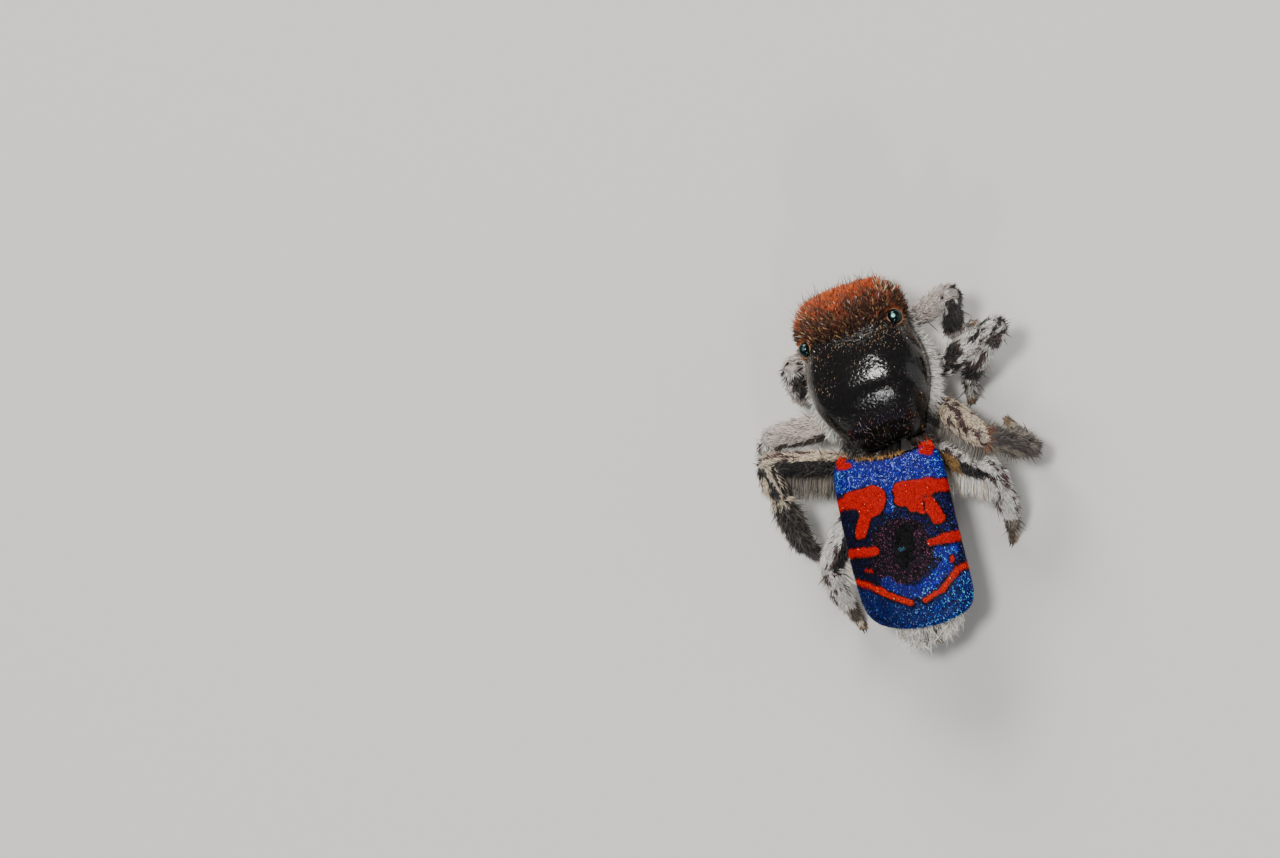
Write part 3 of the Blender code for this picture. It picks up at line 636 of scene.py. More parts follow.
# carapace
shellLook = {
    "roughness": 0.13, "grain": 0.042, "mottle": 0.5, "relief": 0.0070, "reliefShare": 0.75,
    "Specular IOR Level": 0.45, "colour": (0.006, 0.005, 0.0048), "capColour": (0.075, 0.020, 0.008),
    "collarHeight": 0.10, "collarAt": 1.12, "collarReach": 0.30,      # as shares of the eye's radius
}


def nearEyes(spots, reach):
    close = np.zeros(len(spots), bool)
    for _, _, centre, radius in eyeCentres():
        close |= np.linalg.norm(spots - np.array(centre), axis=1) < radius + reach
    return close


def makeShell():
    form = movedBall(128, 96, lambda u, v: shellPlace(u, (1 - math.cos(math.pi * v)) / 2))
    for corner in form.verts:
        for _, _, centre, radius in eyeCentres():
            away = corner.co - centre
            off = abs(away.length / radius - shellLook["collarAt"]) / shellLook["collarReach"]
            if off < 1:      # a low collar round each eye
                corner.co += away.normalized() * radius * shellLook["collarHeight"] * (1 - off)
    mesh = meshFrom(form, "shell")
    spots, _ = spotsOf(mesh)
    cap = np.clip((-1.42 - spots[:, 1:2]) / 0.3, 0, 1) * (spots[:, 2:3] > 1.15)
    paint(mesh, np.array(shellLook["colour"]) * (1 - cap) + np.array(shellLook["capColour"]) * cap)
    piece = addPiece(mesh, "carapaceShell", tintedFinish("shellFinish", shellLook))
    finishPiece(piece, ["carapace"], onHead=True)
    return surfaceOf(shellPlace, 96, 120)


# hair: how many roots are tried and the most that are kept, the cell of the map, then the tuft's form
capHair = {
    "length": 0.090, "width": 0.0062, "lean": 0.72, "leanSpread": 0.14, "splay": 0.45, "curl": -0.10,
    "sink": 0.02, "outlineAt": (0, 0.5, 1), "outline": (0.8, 1.0, 0.0), "lengthSpread": 0.30,
    "shadeAlong": (0.15, 1.30),
}
capLook = dict(
    capHair, tries=130000, most=24500, cell=(0, 0, 2, 2), depth=0.66, fleckShare=0.13,
    tones=("umber", "umber", "rust", "red", "orange"),
    flecks={"gold": 0.5, "tan": 0.2, "rust": 0.25, "pink": 0.05},
)
bristleLook = dict(
    capHair, tries=16000, most=460, cell=(1, 0, 2, 2), length=0.27, width=0.0042, lean=0.20, leanSpread=0.08,
    splay=0.22, levels=(0.33, 0.66), shadeAlong=(0.7, 1.1), colour=(0.050, 0.032, 0.022),
)
ringLook = dict(capHair, length=0.050, width=0.0050, lean=0.42, splay=0.35, shadeAlong=(0.6, 1.0))
browLook = dict(
    capHair, tries=60000, most=260, cell=(0, 1, 2, 2), length=0.15, width=0.0055, lean=0.60, splay=0.25,
    shadeAlong=(0.5, 1.2),
    mix=(("orange", 0.3, 0.3), ("rust", 0.2, 0.3), ("cream", 0.3, 0.2), ("gold", 0.2, 0.3)),
)
capFinishLook = {"roughness": 0.50, "grain": 0.05, "mottle": 0.25, "Specular IOR Level": 0.35}


def capEdge(spots):
    # how far ahead of the cap's rear edge a spot lies, in millimetres; the edge is ragged
    ragged = 0.16 * (cloud(spots, 7.0, 2.0) - 0.5)
    return eyeRow + 0.12 - 0.10 * np.abs(spots[:, 0]) / 0.7 + ragged - spots[:, 1]


def capChance(spots, outs):
    return np.clip(capEdge(spots) / 0.30, 0, 1) * (spots[:, 2] > 1.17) * ~nearEyes(spots, 0.010)


def browChance(spots, outs):
    # a tuft stands on each front corner of the cap
    away = np.hypot(np.abs(spots[:, 0]) - 0.56, spots[:, 1] + 1.76)
    return (away < 0.11) * (spots[:, 2] > 1.30) * ~nearEyes(spots, 0.004)


def forward(roots):
    way = np.zeros_like(roots["spot"])
    way[:, 1] = -1
    way[:, 0] = 0.35 * roots["spot"][:, 0]
    return way


def capTint(roots, rng):
    # dark behind and orange ahead, in small clumps that also differ in height, with pale flecks
    count = len(roots["spot"])
    ahead = np.clip(capEdge(roots["spot"]) / capLook["depth"], 0, 1)
    clump = cloud(roots["spot"], 24.0, 9.0) - 0.5
    mottle = 0.6 * (cloud(roots["spot"], 10.0, 5.0) - 0.5) + 0.8 * clump + 0.18 * rng.normal(size=count)
    bright = np.clip(0.95 * ahead ** 1.9 + mottle, 0, 1)
    roots["size"] = np.clip(1 + 1.3 * clump, 0.5, 1.5)
    names = [capLook["tones"][min(4, int(5 * b))] for b in bright]
    fleck = rng.random(count) < capLook["fleckShare"] * (1.1 - ahead)
    flecks = rng.choice(list(capLook["flecks"]), size=count, p=tuple(capLook["flecks"].values()))
    names = [other if f else name for f, other, name in zip(fleck, flecks, names)]
    return np.array([tints[name] for name in names]) * speckle(rng, (1, 1, 1), 0.30, count)


def bristleTint(roots, rng):
    return speckle(rng, bristleLook["colour"], 0.5, len(roots["spot"]))


def makeCap(surface):
    rng = np.random.default_rng(11)
    grown = [
        hairsOn(surface, capLook, rng, capChance, capTint, forward),
        hairsOn(surface, bristleLook, rng, capChance, bristleTint, forward),
        hairsOn(surface, browLook, rng, browChance, None, forward),
        *eyeRings(rng),
    ]
    coatPiece("capBristles", grown, tintedFinish("capFinish", capFinishLook), onHead=True)


# rings of short hairs round the eyes: the way each looks, the ring's lift, hairs, tints
rings = {
    "front_middle": ((0.04, -1.0, 0.05), 0.35, 420, (("orange", 0.6, 0.3), ("cream", 0.4, 0.3))),
    "front_side": ((0.55, -0.80, 0.20), 0.10, 260, (("orange", 0.6, 0.3), ("gold", 0.4, 0.3))),
    "rear_side": (
        (0.62, 0.05, 0.78), 0.10, 150, (("gold", 0.2, 0.25), ("rust", 0.5, 0.2), ("umber", 0.3, 0.3))
    ),
}


def eyeRings(rng):
    made = []
    for i, (kind, word, centre, radius) in enumerate(eyeCentres()):
        if kind not in rings:
            continue
        _, lift, count, choices = rings[kind]
        axis = eyeAxis(kind, word)
        side, high = across(axis)
        turn = rng.random(count) * 2 * math.pi
        radial = np.cos(turn)[:, None] * np.array(side) + np.sin(turn)[:, None] * np.array(high)
        wide = radius * math.sqrt(1 - lift * lift) * (1.02 + 0.12 * rng.random((count, 1)))
        roots = {"spot": np.array(centre) + np.array(axis) * radius * lift + radial * wide}
        roots["out"] = np.tile(np.array(axis), (count, 1))
        roots["along"] = radial + 0.3 * rng.normal(size=(count, 3))
        roots["uv"] = np.stack([turn / (2 * math.pi), rng.random(count)], axis=1)
        roots["tint"] = mixTints(rng, count, choices)
        if kind == "rear_side":      # brighter orange ahead of the eye, where the cap meets it
            front = radial[:, 1:2] < -0.35
            roots["tint"] = np.where(front, speckle(rng, tints["orange"], 0.3, count), roots["tint"])
        cellOf(roots, i, 7, 8, 8)
        made.append(growTufts(roots, ringLook, rng))
    return made


scaleLook = {
    "length": 0.050, "width": 0.0080, "lean": 0.12, "leanSpread": 0.08, "splay": 0.45, "curl": -0.05,
    "sink": 0.006, "outlineAt": (0, 0.35, 0.8, 1), "outline": (0.5, 1.0, 0.8, 0.0), "flat": 0.22,
    "sides": 4, "levels": (0.35, 0.8), "tilt": 0.30,
}
topLook = dict(
    scaleLook, tries=20000, cell=(0, 0, 2, 2), length=0.034, width=0.0048, levels=(0.5,), sides=3,
    mix=(("brown", 0.42, 0.5), ("rust", 0.17, 0.4), ("gold", 0.13, 0.5), ("grey", 0.14, 0.4),
         ("straw", 0.10, 0.4), ("white", 0.04, 0.4)),
)
marginLook = dict(
    scaleLook, tries=27000, cell=(1, 0, 2, 2), length=0.20, width=0.0095, lean=0.72, splay=0.30,
    levels=(0.35, 0.7), sides=3, curl=-0.15,
)
faceLook = dict(
    capHair, tries=9500, cell=(0, 1, 2, 2), length=0.10, width=0.0075, lean=0.30,
    mix=(("rust", 0.3, 0.3), ("gold", 0.4, 0.3), ("orange", 0.3, 0.3)),
)
cheekLook = dict(
    faceLook, tries=5200, cell=(3, 3, 4, 4),
    mix=(("white", 0.35, 0.2), ("gold", 0.35, 0.3), ("rust", 0.3, 0.3)),
)
slopeLook = dict(
    capHair, tries=7000, cell=(2, 2, 4, 4), length=0.075, width=0.0042, lean=0.15, splay=0.5,
    mix=(("smoke", 0.35, 0.4), ("grey", 0.35, 0.4), ("brown", 0.20, 0.4), ("gold", 0.06, 0.4),
         ("white", 0.04, 0.3)),
)


topFinishLook = {"roughness": 0.30, "grain": 0.03, "mottle": 0.2}


def topChance(spots, outs):
    # dense right behind the cap, in patches further back
    patchy = 0.6 * cloud(spots, 2.3, 0.0) + 0.4 * cloud(spots, 11.0, 3.0)
    behind = np.clip(-capEdge(spots) / 0.5, 0, 1)
    patches = np.clip(4.2 * patchy - 2.1, 0.01, 1) * 0.55
    chance = np.clip((1 - behind) ** 1.5 * 1.9 * patchy + patches, 0, 1)
    high = np.clip((spots[:, 2] - 1.02) / 0.2, 0, 1)
    return chance * high * (spots[:, 1] > eyeRow - 0.15) * (spots[:, 1] < -0.10) * ~nearEyes(spots, 0.01)


def topTint(roots, rng):
    count = len(roots["spot"])
    roots["size"] = np.exp(0.35 * rng.normal(size=count))
    return mixTints(rng, count, topLook["mix"])


def marginChance(spots, outs):
    _, y, z = spots.T
    edge = 0.92 + 0.05 * np.clip((y + 1.5) / 0.6, 0, 1) - 0.13 * np.clip((y + 0.40) / 0.35, 0, 1)
    return (z < edge) * (z > 0.742) * (outs[:, 2] > -0.75) * (y > -1.62) * (y < -0.06)


def marginTint(roots, rng):
    neckShade = np.clip((roots["spot"][:, 1:2] + 0.40) / 0.20, 0, 1)      # painted shade: the hairs are darkened round the neck, where shell and plate shade them
    return speckle(rng, tints["white"], 0.14, len(neckShade)) * (1 - 0.96 * neckShade)


def marginLie(roots):
    return 0.5 * roots["along"] + np.array((0.0, 0.0, -0.8))


def faceChance(spots, outs):
    _, y, z = spots.T
    return (y < -1.50) * (z < 1.20) * (z > 0.76) * ~nearEyes(spots, 0.006)


def faceTint(roots, rng):
    below = roots["spot"][:, 2:3] < 0.93
    pale = speckle(rng, tints["white"], 0.2, len(below))
    return np.where(below, pale, mixTints(rng, len(below), faceLook["mix"]))


def cheekChance(spots, outs):
    return ~nearEyes(spots, 0.004)


def slopeChance(spots, outs):
    x, y, z = spots.T
    middle = (np.abs(x) < 0.30) * (y > -0.34)
    return (y > -0.42) * (y < -0.02) * (z > 0.9) * (np.abs(x) < 0.5) * (0.15 + 0.75 * middle)


def makeShellScales(surface):
    rng = np.random.default_rng(23)
    disc = surfaceOf(lambda u, v: shellPlace(u, 0).lerp(Vector((0, headFront, 1.0)), v), 48, 12)
    disc["out"][:] = (0, -1, 0)
    grown = [
        hairsOn(surface, topLook, rng, topChance, topTint, lambda roots: -forward(roots)),
        hairsOn(surface, marginLook, rng, marginChance, marginTint, marginLie),
        hairsOn(surface, faceLook, rng, faceChance, faceTint, (0.0, -0.25, -1.0)),
        hairsOn(disc, cheekLook, rng, cheekChance, None, (0.0, -0.1, -1.0)),
        hairsOn(surface, slopeLook, rng, slopeChance),
    ]
    finish = tintedFinish("scaleFinish", topFinishLook)
    coatPiece("carapaceScales", grown, finish, onHead=True)


# skin of legs, underside, mouth parts and belly
legPlan = {
    "leg_1_right": ((-0.56, -1.60, 0.50), (-1.24, -1.58, 1.10), (-1.00, -1.30, 0.40), (-1.20, -1.44)),
    "leg_2_right": ((-0.67, -0.84, 0.46), (-1.75, -0.96, 1.12), (-1.09, -0.64, 0.50), (-0.93, -0.48)),
    "leg_3_right": ((-0.62, -0.44, 0.50), (-1.25, 0.44, 1.26), (-1.70, 0.56, 0.62), (-1.32, -0.08)),
    "leg_4_right": ((-0.48, 0.18, 0.50), (-1.25, 0.82, 1.05), (-1.20, 1.24, 0.48), (-1.03, 1.46)),
    "leg_1_left": ((0.60, -1.48, 0.48), (1.02, -1.32, 0.98), (1.12, -1.08, 0.40), (1.26, -1.42)),
    "leg_2_left": ((0.67, -0.58, 0.44), (1.52, -0.50, 0.94), (1.74, -0.28, 0.38), (1.84, 0.10)),
    "leg_3_left": ((0.64, -0.02, 0.42), (1.60, -0.10, 1.20), (1.47, 0.90, 0.66), (1.36, 1.02)),
    "leg_4_left": ((0.52, 0.20, 0.46), (1.15, 1.38, 0.92), (1.14, 1.74, 0.46), (1.12, 1.96)),
}
legRadii = ((0.158, 0.138, 0.080, 0.062), (0.186, 0.142, 0.080, 0.062),
            (0.176, 0.140, 0.080, 0.058), (0.184, 0.142, 0.080, 0.058))
skinShare = 0.88        # the skin's thickness as a share of a leg out to its short coat
forms = {
    "femur": ((0.0, 0.52), (0.10, 0.76), (0.34, 1.0), (0.70, 0.96), (0.93, 0.84), (1.0, 0.66)),
    "patella": ((0.0, 0.70), (0.15, 0.94), (0.55, 1.06), (0.90, 0.94), (1.0, 0.66)),
    "tibia": ((0.0, 0.62), (0.10, 0.88), (0.40, 1.0), (0.80, 0.86), (0.95, 0.74), (1.0, 0.60)),
    "slim": ((0.0, 0.80), (0.12, 1.0), (0.60, 0.92), (0.92, 0.86), (1.0, 0.66)),
    "coxa": ((0.0, 0.60), (0.15, 0.92), (0.50, 1.0), (0.85, 0.92), (1.0, 0.66)),
}


def legPoints(name):
    hip, knee, ankle, (x, y) = legPlan[name]
    hip, knee, ankle = Vector(hip), Vector(knee), Vector(ankle)
    foot = Vector((x, y, 0.036))
    patella = knee.lerp(ankle, 0.42) + Vector((0, 0, 0.07))
    wrist = ankle.lerp(foot, 0.56) - Vector((0, 0, 0.02))
    return hip, knee, patella, ankle, wrist, foot


def legLengths(name):
    # each length of a leg: its kind, ends, form and radius
    femur, tibia, slim, tarsus = legRadii[int(name.split("_")[1]) - 1]
    hip, knee, patella, ankle, wrist, foot = legPoints(name)
    root = Vector((hip.x * 0.34, min(hip.y * 0.78 - 0.18, -0.14), hip.z + 0.06))
    return (
        ("coxa", root, hip, forms["coxa"], 0.125),
        ("femur", hip, knee, forms["femur"], femur),
        ("patella", knee, patella, forms["patella"], tibia),
        ("tibia", patella, ankle, forms["tibia"], tibia),
        ("metatarsus", ankle, wrist, forms["slim"], slim),
        ("tarsus", wrist, foot, forms["slim"], tarsus),
    )


palpPlaces = (
    (0.16, -1.48, 0.60), (0.36, -1.72, 0.60), (0.43, -1.93, 0.61), (0.42, -2.08, 0.52), (0.32, -2.20, 0.24),
)
jawPlaces = ((0.145, -1.80, shellFloor), (0.145, -1.91, 0.27))


def palpLengths(side):
    root, base, elbow, wrist, tip = (headTurn @ sided(place, side) for place in palpPlaces)
    return (
        ("palp", root, base, forms["coxa"], 0.090),
        ("palp", base, elbow, forms["slim"], 0.074),
        ("palp", elbow, wrist, forms["patella"], 0.082),
        ("palpTip", wrist, tip, forms["patella"], 0.098),
    )


def cheliceraLength(side):
    top, tip = (headTurn @ sided(place, side) for place in jawPlaces)
    return "chelicera", top, tip, forms["tibia"], 0.142


def limbForm(start, end, profile, radius, sides=24, rings=18, over=0.0):
    way = (end - start).normalized()
    return movedBall(sides, rings, limbPlace(start - way * over, end + way * over, profile, radius))


skinLook = {
    "roughness": 0.36, "grain": 0.045, "mottle": 0.35, "relief": 0.006, "reliefShare": 0.4,
    "Specular IOR Level": 0.5, "voxel": 0.020, "softRounds": 4, "softShare": 0.5, "depth": 0.42,
    "waist": (0.40, -0.05, 0.32, 0.45),      # painted shade, black round the waist: half width, middle, half length, lowest height
    "streak": (15.0, 0.26),                  # scale of the streaks' noise, and its stretch
}
waistLength = ((0, -0.16, 0.62), (0.05, 0.18, 0.67), 0.08)      # ends and radius
spinnerets = {
    "base": (plate["aside"], 2.54, 0.84), "baseEnds": (-0.07, 0.06), "baseRadius": 0.115,
    "tips": ((0.06, 0.02, 0.05, 0.038), (0.07, 0.02, -0.06, 0.034)), "reach": (0.02, 0.15, -0.02),
}


def sided(place, side):
    # a place given for the spider's left, on either side
    x, y, z = place
    return Vector((side * x, y, z))


def skinForms():
    made = [movedBall(48, 36, bellyPlace), movedBall(40, 30, bodyPlace(blockRows, 5.0, 2.6))]
    for name in legPlan:
        for _, start, end, profile, radius in legLengths(name):
            made.append(limbForm(start, end, profile, radius * skinShare, over=0.03))
    for side in (-1, 1):
        for _, start, end, profile, radius in (*palpLengths(side), cheliceraLength(side)):
            made.append(limbForm(start, end, profile, radius * skinShare, over=0.02))
    front, rear, radius = waistLength
    made.append(limbForm(Vector(front), Vector(rear), forms["slim"], radius))
    base = Vector(spinnerets["base"])
    front, rear = (base + Vector((0, y, 0)) for y in spinnerets["baseEnds"])
    made.append(limbForm(front, rear, forms["slim"], spinnerets["baseRadius"]))
    reach = spinnerets["reach"]
    for *place, radius in spinnerets["tips"]:
        for side in (-1, 1):
            root = base + sided(place, side)
            made.append(limbForm(root, root + sided(reach, side), forms["slim"], radius, 12, 10))
    return made


def makeSkin():
    # all lengths and the belly are melted into one closed skin
    finish = tintedFinish("skinFinish", skinLook)
    piece = addPiece(meshFrom(joinForms(skinForms()), "skin"), "legAndBellySkin", finish)
    melt = piece.modifiers.new("melt", "REMESH")
    melt.mode = "VOXEL"
    melt.voxel_size = skinLook["voxel"]
    soften = piece.modifiers.new("soften", "SMOOTH")
    soften.iterations = skinLook["softRounds"]
    soften.factor = skinLook["softShare"]
    seen = piece.evaluated_get(bpy.context.evaluated_depsgraph_get())
    mesh = bpy.data.meshes.new_from_object(seen)
    piece.modifiers.clear()
    piece.data = mesh
    mesh.shade_smooth()
    paint(mesh, skinColours(*spotsOf(mesh)))
    nodes = ["sternum_and_hips", "pedicel", "spinnerets", "abdomen"]
    nodes += ["palp_left", "palp_right", "chelicera_left", "chelicera_right"]
    nodes += [name + end for name in legPlan for end in ("_femur", "_tibia", "_foot")]
    finishPiece(piece, nodes)
    print("skin", len(mesh.polygons), "faces")


def streaks(spots, way, seed):
    # long streaks that run with the length, from 0 to 1
    scale, stretch = skinLook["streak"]
    lengthwise = (spots @ way)[:, None] * way
    return cloud((spots - lengthwise) + lengthwise * stretch, scale, seed)


def legColours(name, kind, share, outs, spots, way):
    # markings of a leg by its number, side and length, and by where a spot faces
    number, left = int(name.split("_")[1]), name.endswith("left")
    way = np.array(way)
    rear = np.array((-way[1], way[0], 0.0))
    rear = rear / np.linalg.norm(rear) * (1 if rear[1] > 0 else -1)
    up, back = outs[:, 2], outs @ rear
    dark = streaks(spots, way, number * 3.7 + left)
    patchy = cloud(spots, 8.0, number * 1.9 + left)
    everywhere = np.ones(len(spots), bool)
    # marks: a tint and where it goes; later ones lie over earlier ones
    if kind == "coxa":
        marks = [("white", everywhere), ("brown", up < -0.1)]
        if number == 4:
            marks = [("brown", everywhere), ("white", (dark > 0.66) & (share > 0.5))]
    elif kind == "femur":
        base = "cream" if number == 3 else "pink" if number == 1 or number == 2 and left else "white"
        stripes = {1: 0.84, 2: 0.80 if left else 0.54, 3: 0.57, 4: 0.70}[number]
        patchFrom = 0.86 if number == 1 or left else 0.66
        greyFrom = -0.25 if number < 3 else 0.0
        marks = [
            (base, everywhere), ("black" if number == 2 else "plum", dark > stripes),
            ("brown", (patchy > patchFrom) & (share < 0.85)), ("grey", up < greyFrom), ("brown", up < -0.45),
        ]
        if number == 1:
            marks.append(("black", (share > 0.80) & (patchy > 0.54)))
        if number == 3 and left:
            marks.append(("black", (back > 0.05) & (up < 0.83)))
        if number == 4:
            face = (back > 0.15) & (up < 0.84)
            marks += [("amber", face & (share < 0.50)), ("black", face & (share >= 0.50))]
        if number == 2 and left:
            marks.append(("smoke", (back > 0.2) & (up < 0.35)))
    elif kind == "patella":
        marks = [("white", everywhere), ("plum", dark > (0.57 if number == 4 else 0.54)),
                 ("black", (number == 2) & (patchy > 0.60))]
        if number == 1:
            marks.append(("black", (patchy > 0.56) | ((back > 0.3) & (up < 0.6))))
        if number == 3:
            marks = [("cream", everywhere), ("black", dark > 0.50)]
            if not left:
                marks = [("smoke", everywhere), ("straw", dark > 0.55), ("rust", share < 0.14)]
    elif kind == "tibia":
        marks = [("white", everywhere), ("plum", (dark > (0.66 if left else 0.56)) & (share < 0.88))]
        if number == 1:
            marks += [("pink", share > 0.5), ("black", (share < 0.62) & (back > (0.2 if left else -0.35)))]
        if number == 2:
            marks.append(("black", (share > 0.45) & (share < 0.85)))
        if number == 3:
            marks = [("smoke", everywhere), ("straw", dark > 0.56), ("black", dark < 0.34)]
            if left:
                marks = [("black", everywhere), ("grey", dark > 0.68)]
                marks.append(("cream", (share < 0.10) & (dark > 0.45)))
    elif kind == "metatarsus":
        marks = [("straw", everywhere), ("brown", dark > 0.46)]
        if number == 3:
            marks = [("black", everywhere), ("smoke", dark > 0.55)]
        if number < 3:
            marks = [("white", everywhere), ("brown", dark > 0.58), ("smoke", share < 0.22)]
    elif kind == "tarsus":
        marks = [("tan", everywhere), ("cream", (share < 0.45) & (dark > 0.40)), ("brown", dark > 0.62)]
    else:
        marks = [("white", everywhere), ("tan", dark > 0.66), ("brown", up < -0.25)]
    colours = np.zeros((len(spots), 3))
    for tint, where in marks:
        colours[where] = tints[tint]
    return colours


def skinColours(spots, outs):
    # the skin under the coat carries the coat's own markings, deeper in tone
    colours = np.tile(np.array(tints["skin"]), (len(spots), 1))
    colours[spots[:, 1] > plate["front"]] = tints["belly"]
    aside, middle, reach, above = skinLook["waist"]
    # painted shade: the skin round the waist, between shell and plate, is painted black
    waist = (np.abs(spots[:, 0]) < aside) & (np.abs(spots[:, 1] - middle) < reach) & (spots[:, 2] > above)
    colours[waist] = tints["black"]
    nearest = np.full(len(spots), 1e9)
    lengths = [(name, length) for name in legPlan for length in legLengths(name)[1:]]
    lengths += [("palp_0", length) for side in (-1, 1) for length in palpLengths(side)]
    for name, (kind, start, end, _, radius) in lengths:
        start, end = np.array(start), np.array(end)
        size = np.linalg.norm(end - start)
        way = (end - start) / size
        share = np.clip((spots - start) @ way / size, 0, 1)
        gap = np.linalg.norm(spots - start - share[:, None] * (end - start), axis=1) - radius
        mine = (gap < 0.02) & (gap < nearest)
        if mine.any():
            nearest[mine] = gap[mine]
            markings = legColours(name, kind, share[mine], outs[mine], spots[mine], way)
            colours[mine] = skinLook["depth"] * markings
    return colours


# coat of the legs
scaleHair = {
    "width": 0.0066, "leanSpread": 0.07, "splay": 0.16, "curl": -0.05, "sink": 0.006, "flat": 0.45,
    "outlineAt": (0, 0.45, 1), "outline": (0.8, 1.0, 0.0), "levels": (0.45,),
}
fineHair = dict(
    scaleHair, width=0.0040, flat=1.0, lean=0.36, leanSpread=0.10, splay=0.35, curl=-0.14, fade=0.45
)
# hairs for each square millimetre, their length and lean, then number and length of the loose ones
coatPlan = {
    "coxa": (1200, 0.110, 0.30, 200, 0.150), "femur": (2450, 0.105, 0.20, 260, 0.150),
    "patella": (2600, 0.095, 0.25, 260, 0.130), "tibia": (2600, 0.110, 0.27, 300, 0.140),
    "metatarsus": (2200, 0.100, 0.32, 360, 0.120), "tarsus": (2600, 0.060, 0.30, 300, 0.085),
    "palp": (2200, 0.085, 0.26, 300, 0.120), "palpTip": (3600, 0.110, 0.30, 500, 0.150),
}
coatLooks = {
    kind: (
        dict(scaleHair, density=dense, length=size, lean=lean),
        dict(fineHair, density=looseDense, length=looseSize),
    )
    for kind, (dense, size, lean, looseDense, looseSize) in coatPlan.items()
}
jawLook = dict(
    scaleHair, density=420, length=0.085, lean=0.22,
    mix=(("white", 0.5, 0.2), ("straw", 0.3, 0.3), ("tan", 0.2, 0.3)),
)
brushLooks = (
    dict(scaleHair, density=3000, length=0.125, lean=0.30, width=0.0075, leanSpread=0.12),
    dict(fineHair, density=800, length=0.155, lean=0.48, width=0.0052),
)
brushedLengths = {"right": ("patella", "tibia"), "left": ("tibia",)}      # of the third pair
spineLook = dict(fineHair, length=0.22, lean=0.55, width=0.0070, splay=0.4, mix=(("brown", 1, 0.3),))
spineCounts = {"femur": 3, "patella": 3, "tibia": 6, "metatarsus": 4}
fringeHair = dict(fineHair, length=0.34, levels=(0.3, 0.65), free=True)
fringeLooks = {      # by the number of the pair
    3: dict(fringeHair, tries=4200, width=0.0062, splay=0.10, droop=0.18, lengthSpread=0.12,
            mix=(("grey", 0.6, 0.25), ("straw", 0.4, 0.2))),
    4: dict(fringeHair, tries=2300, width=0.0105, splay=0.14, droop=0.22, lengthSpread=0.15,
            mix=(("white", 0.8, 0.15), ("cream", 0.2, 0.2))),
}
coatGroups = ((31, "right", (1, 2)), (33, "right", (3, 4)), (37, "left", (1, 2)), (41, "left", (3, 4)))
hairFinishLook = {"roughness": 0.5, "grain": 0.06, "mottle": 0.10, "Sheen Weight": 0.1}


def limbHair(name, length, look, rng, column, row, chance=None, lie=None):
    # hairs on one length of a limb; a look without a mix takes the leg's own markings
    kind, start, end, profile, radius = length
    radius = radius * skinShare
    surface = surfaceOf(limbPlace(start, end, profile, radius), 20, 16)
    way = (end - start).normalized()
    tries = look.get("tries")
    if tries is None:
        tries = int(2 * math.pi * radius * (end - start).length * look["density"])

    def markings(roots, rng):
        base = legColours(name, kind, roots["share"], roots["out"], roots["spot"], way)
        base += look.get("fade", 0.0) * (np.array(tints["straw"]) - base)
        return base * speckle(rng, (1, 1, 1), 0.16, len(base))

    tint = None if "mix" in look else markings
    return hairsOn(surface, dict(look, tries=tries, cell=(column, row, 6, 6)), rng, chance, tint, lie)


def makeLegCoats():
    finish = tintedFinish("hairFinish", hairFinishLook)
    for seed, word, numbers in coatGroups:
        rng = np.random.default_rng(seed)
        side = -1 if word == "right" else 1
        grown = []
        for row, number in enumerate(numbers):
            name = "leg_{}_{}".format(number, word)
            lengths = legLengths(name)
            for column, length in enumerate(lengths):
                brushed = number == 3 and length[0] in brushedLengths[word]
                for i, look in enumerate(brushLooks if brushed else coatLooks[length[0]]):
                    grown.append(limbHair(name, length, look, rng, column, row + 2 * i))
            grown += longHair(name, lengths, row, rng)
        if 1 in numbers:
            grown.append(limbHair("palp_0", cheliceraLength(side), jawLook, rng, 5, 4))
            for column, length in enumerate(palpLengths(side)):
                for i, look in enumerate(coatLooks[length[0]]):
                    grown.append(limbHair("palp_0", length, look, rng, column, 5 - i))
        ends = "front_" if 1 in numbers else "rear_"
        coatPiece("legHair_" + ends + word, grown, finish)


def longHair(name, lengths, row, rng):
    # the fringes under the rear thighs, and loose dark spines
    number, femur = int(name.split("_")[1]), lengths[1]
    way = (femur[2] - femur[1]).normalized()
    rear = Vector((-way.y, way.x, 0))
    rear = rear.normalized() * (1 if rear.y > 0 else -1)

    def under(spots, outs):
        return (outs @ np.array(rear) > 0.25) * (outs[:, 2] < -0.15) * (outs[:, 2] > -0.85)

    made = []
    if number in fringeLooks:
        lie = rear * 0.80 - Vector((0, 0, 0.45)) + way * 0.35
        made.append(limbHair(name, femur, fringeLooks[number], rng, 5, 5 - row, under, lie))
    for length in lengths:
        if length[0] in spineCounts:
            look = dict(spineLook, tries=spineCounts[length[0]])
            made.append(limbHair(name, length, look, rng, 4, 5 - row))
    return made


# abdomen
def plateShare(y):
    return (y - plate["front"]) / (plate["rear"] - plate["front"])


def plateHeight(x, y):
    arch = math.sin(math.pi * min(1.0, max(0.0, plateShare(y)))) ** 0.8
    return plate["height"] + plate["arch"] * arch - plate["bend"] * abs(x / plate["halfWidth"]) ** 3


def plateSpot(u, scale):
    # the plate's outline: oblong, hollow behind the neck, swollen at the rear and set askew
    turn = 2 * math.pi * u
    middle = (plate["front"] + plate["rear"]) / 2
    half = (plate["rear"] - plate["front"]) / 2
    c, s = math.cos(turn), math.sin(turn)
    reach = scale * (abs(c) ** 7 + abs(s) ** 7) ** (-1 / 7)
    x = plate["halfWidth"] * reach * c
    y = middle + half * reach * s
    share = plateShare(y)
    inward = scale * max(0.0, math.cos(math.pi * x / 1.3))
    y += inward * (plate["hollow"] * (1 - share) ** 4 if s < 0 else plate["swell"] * share ** 4)
    return x, y - plate["skew"] * x


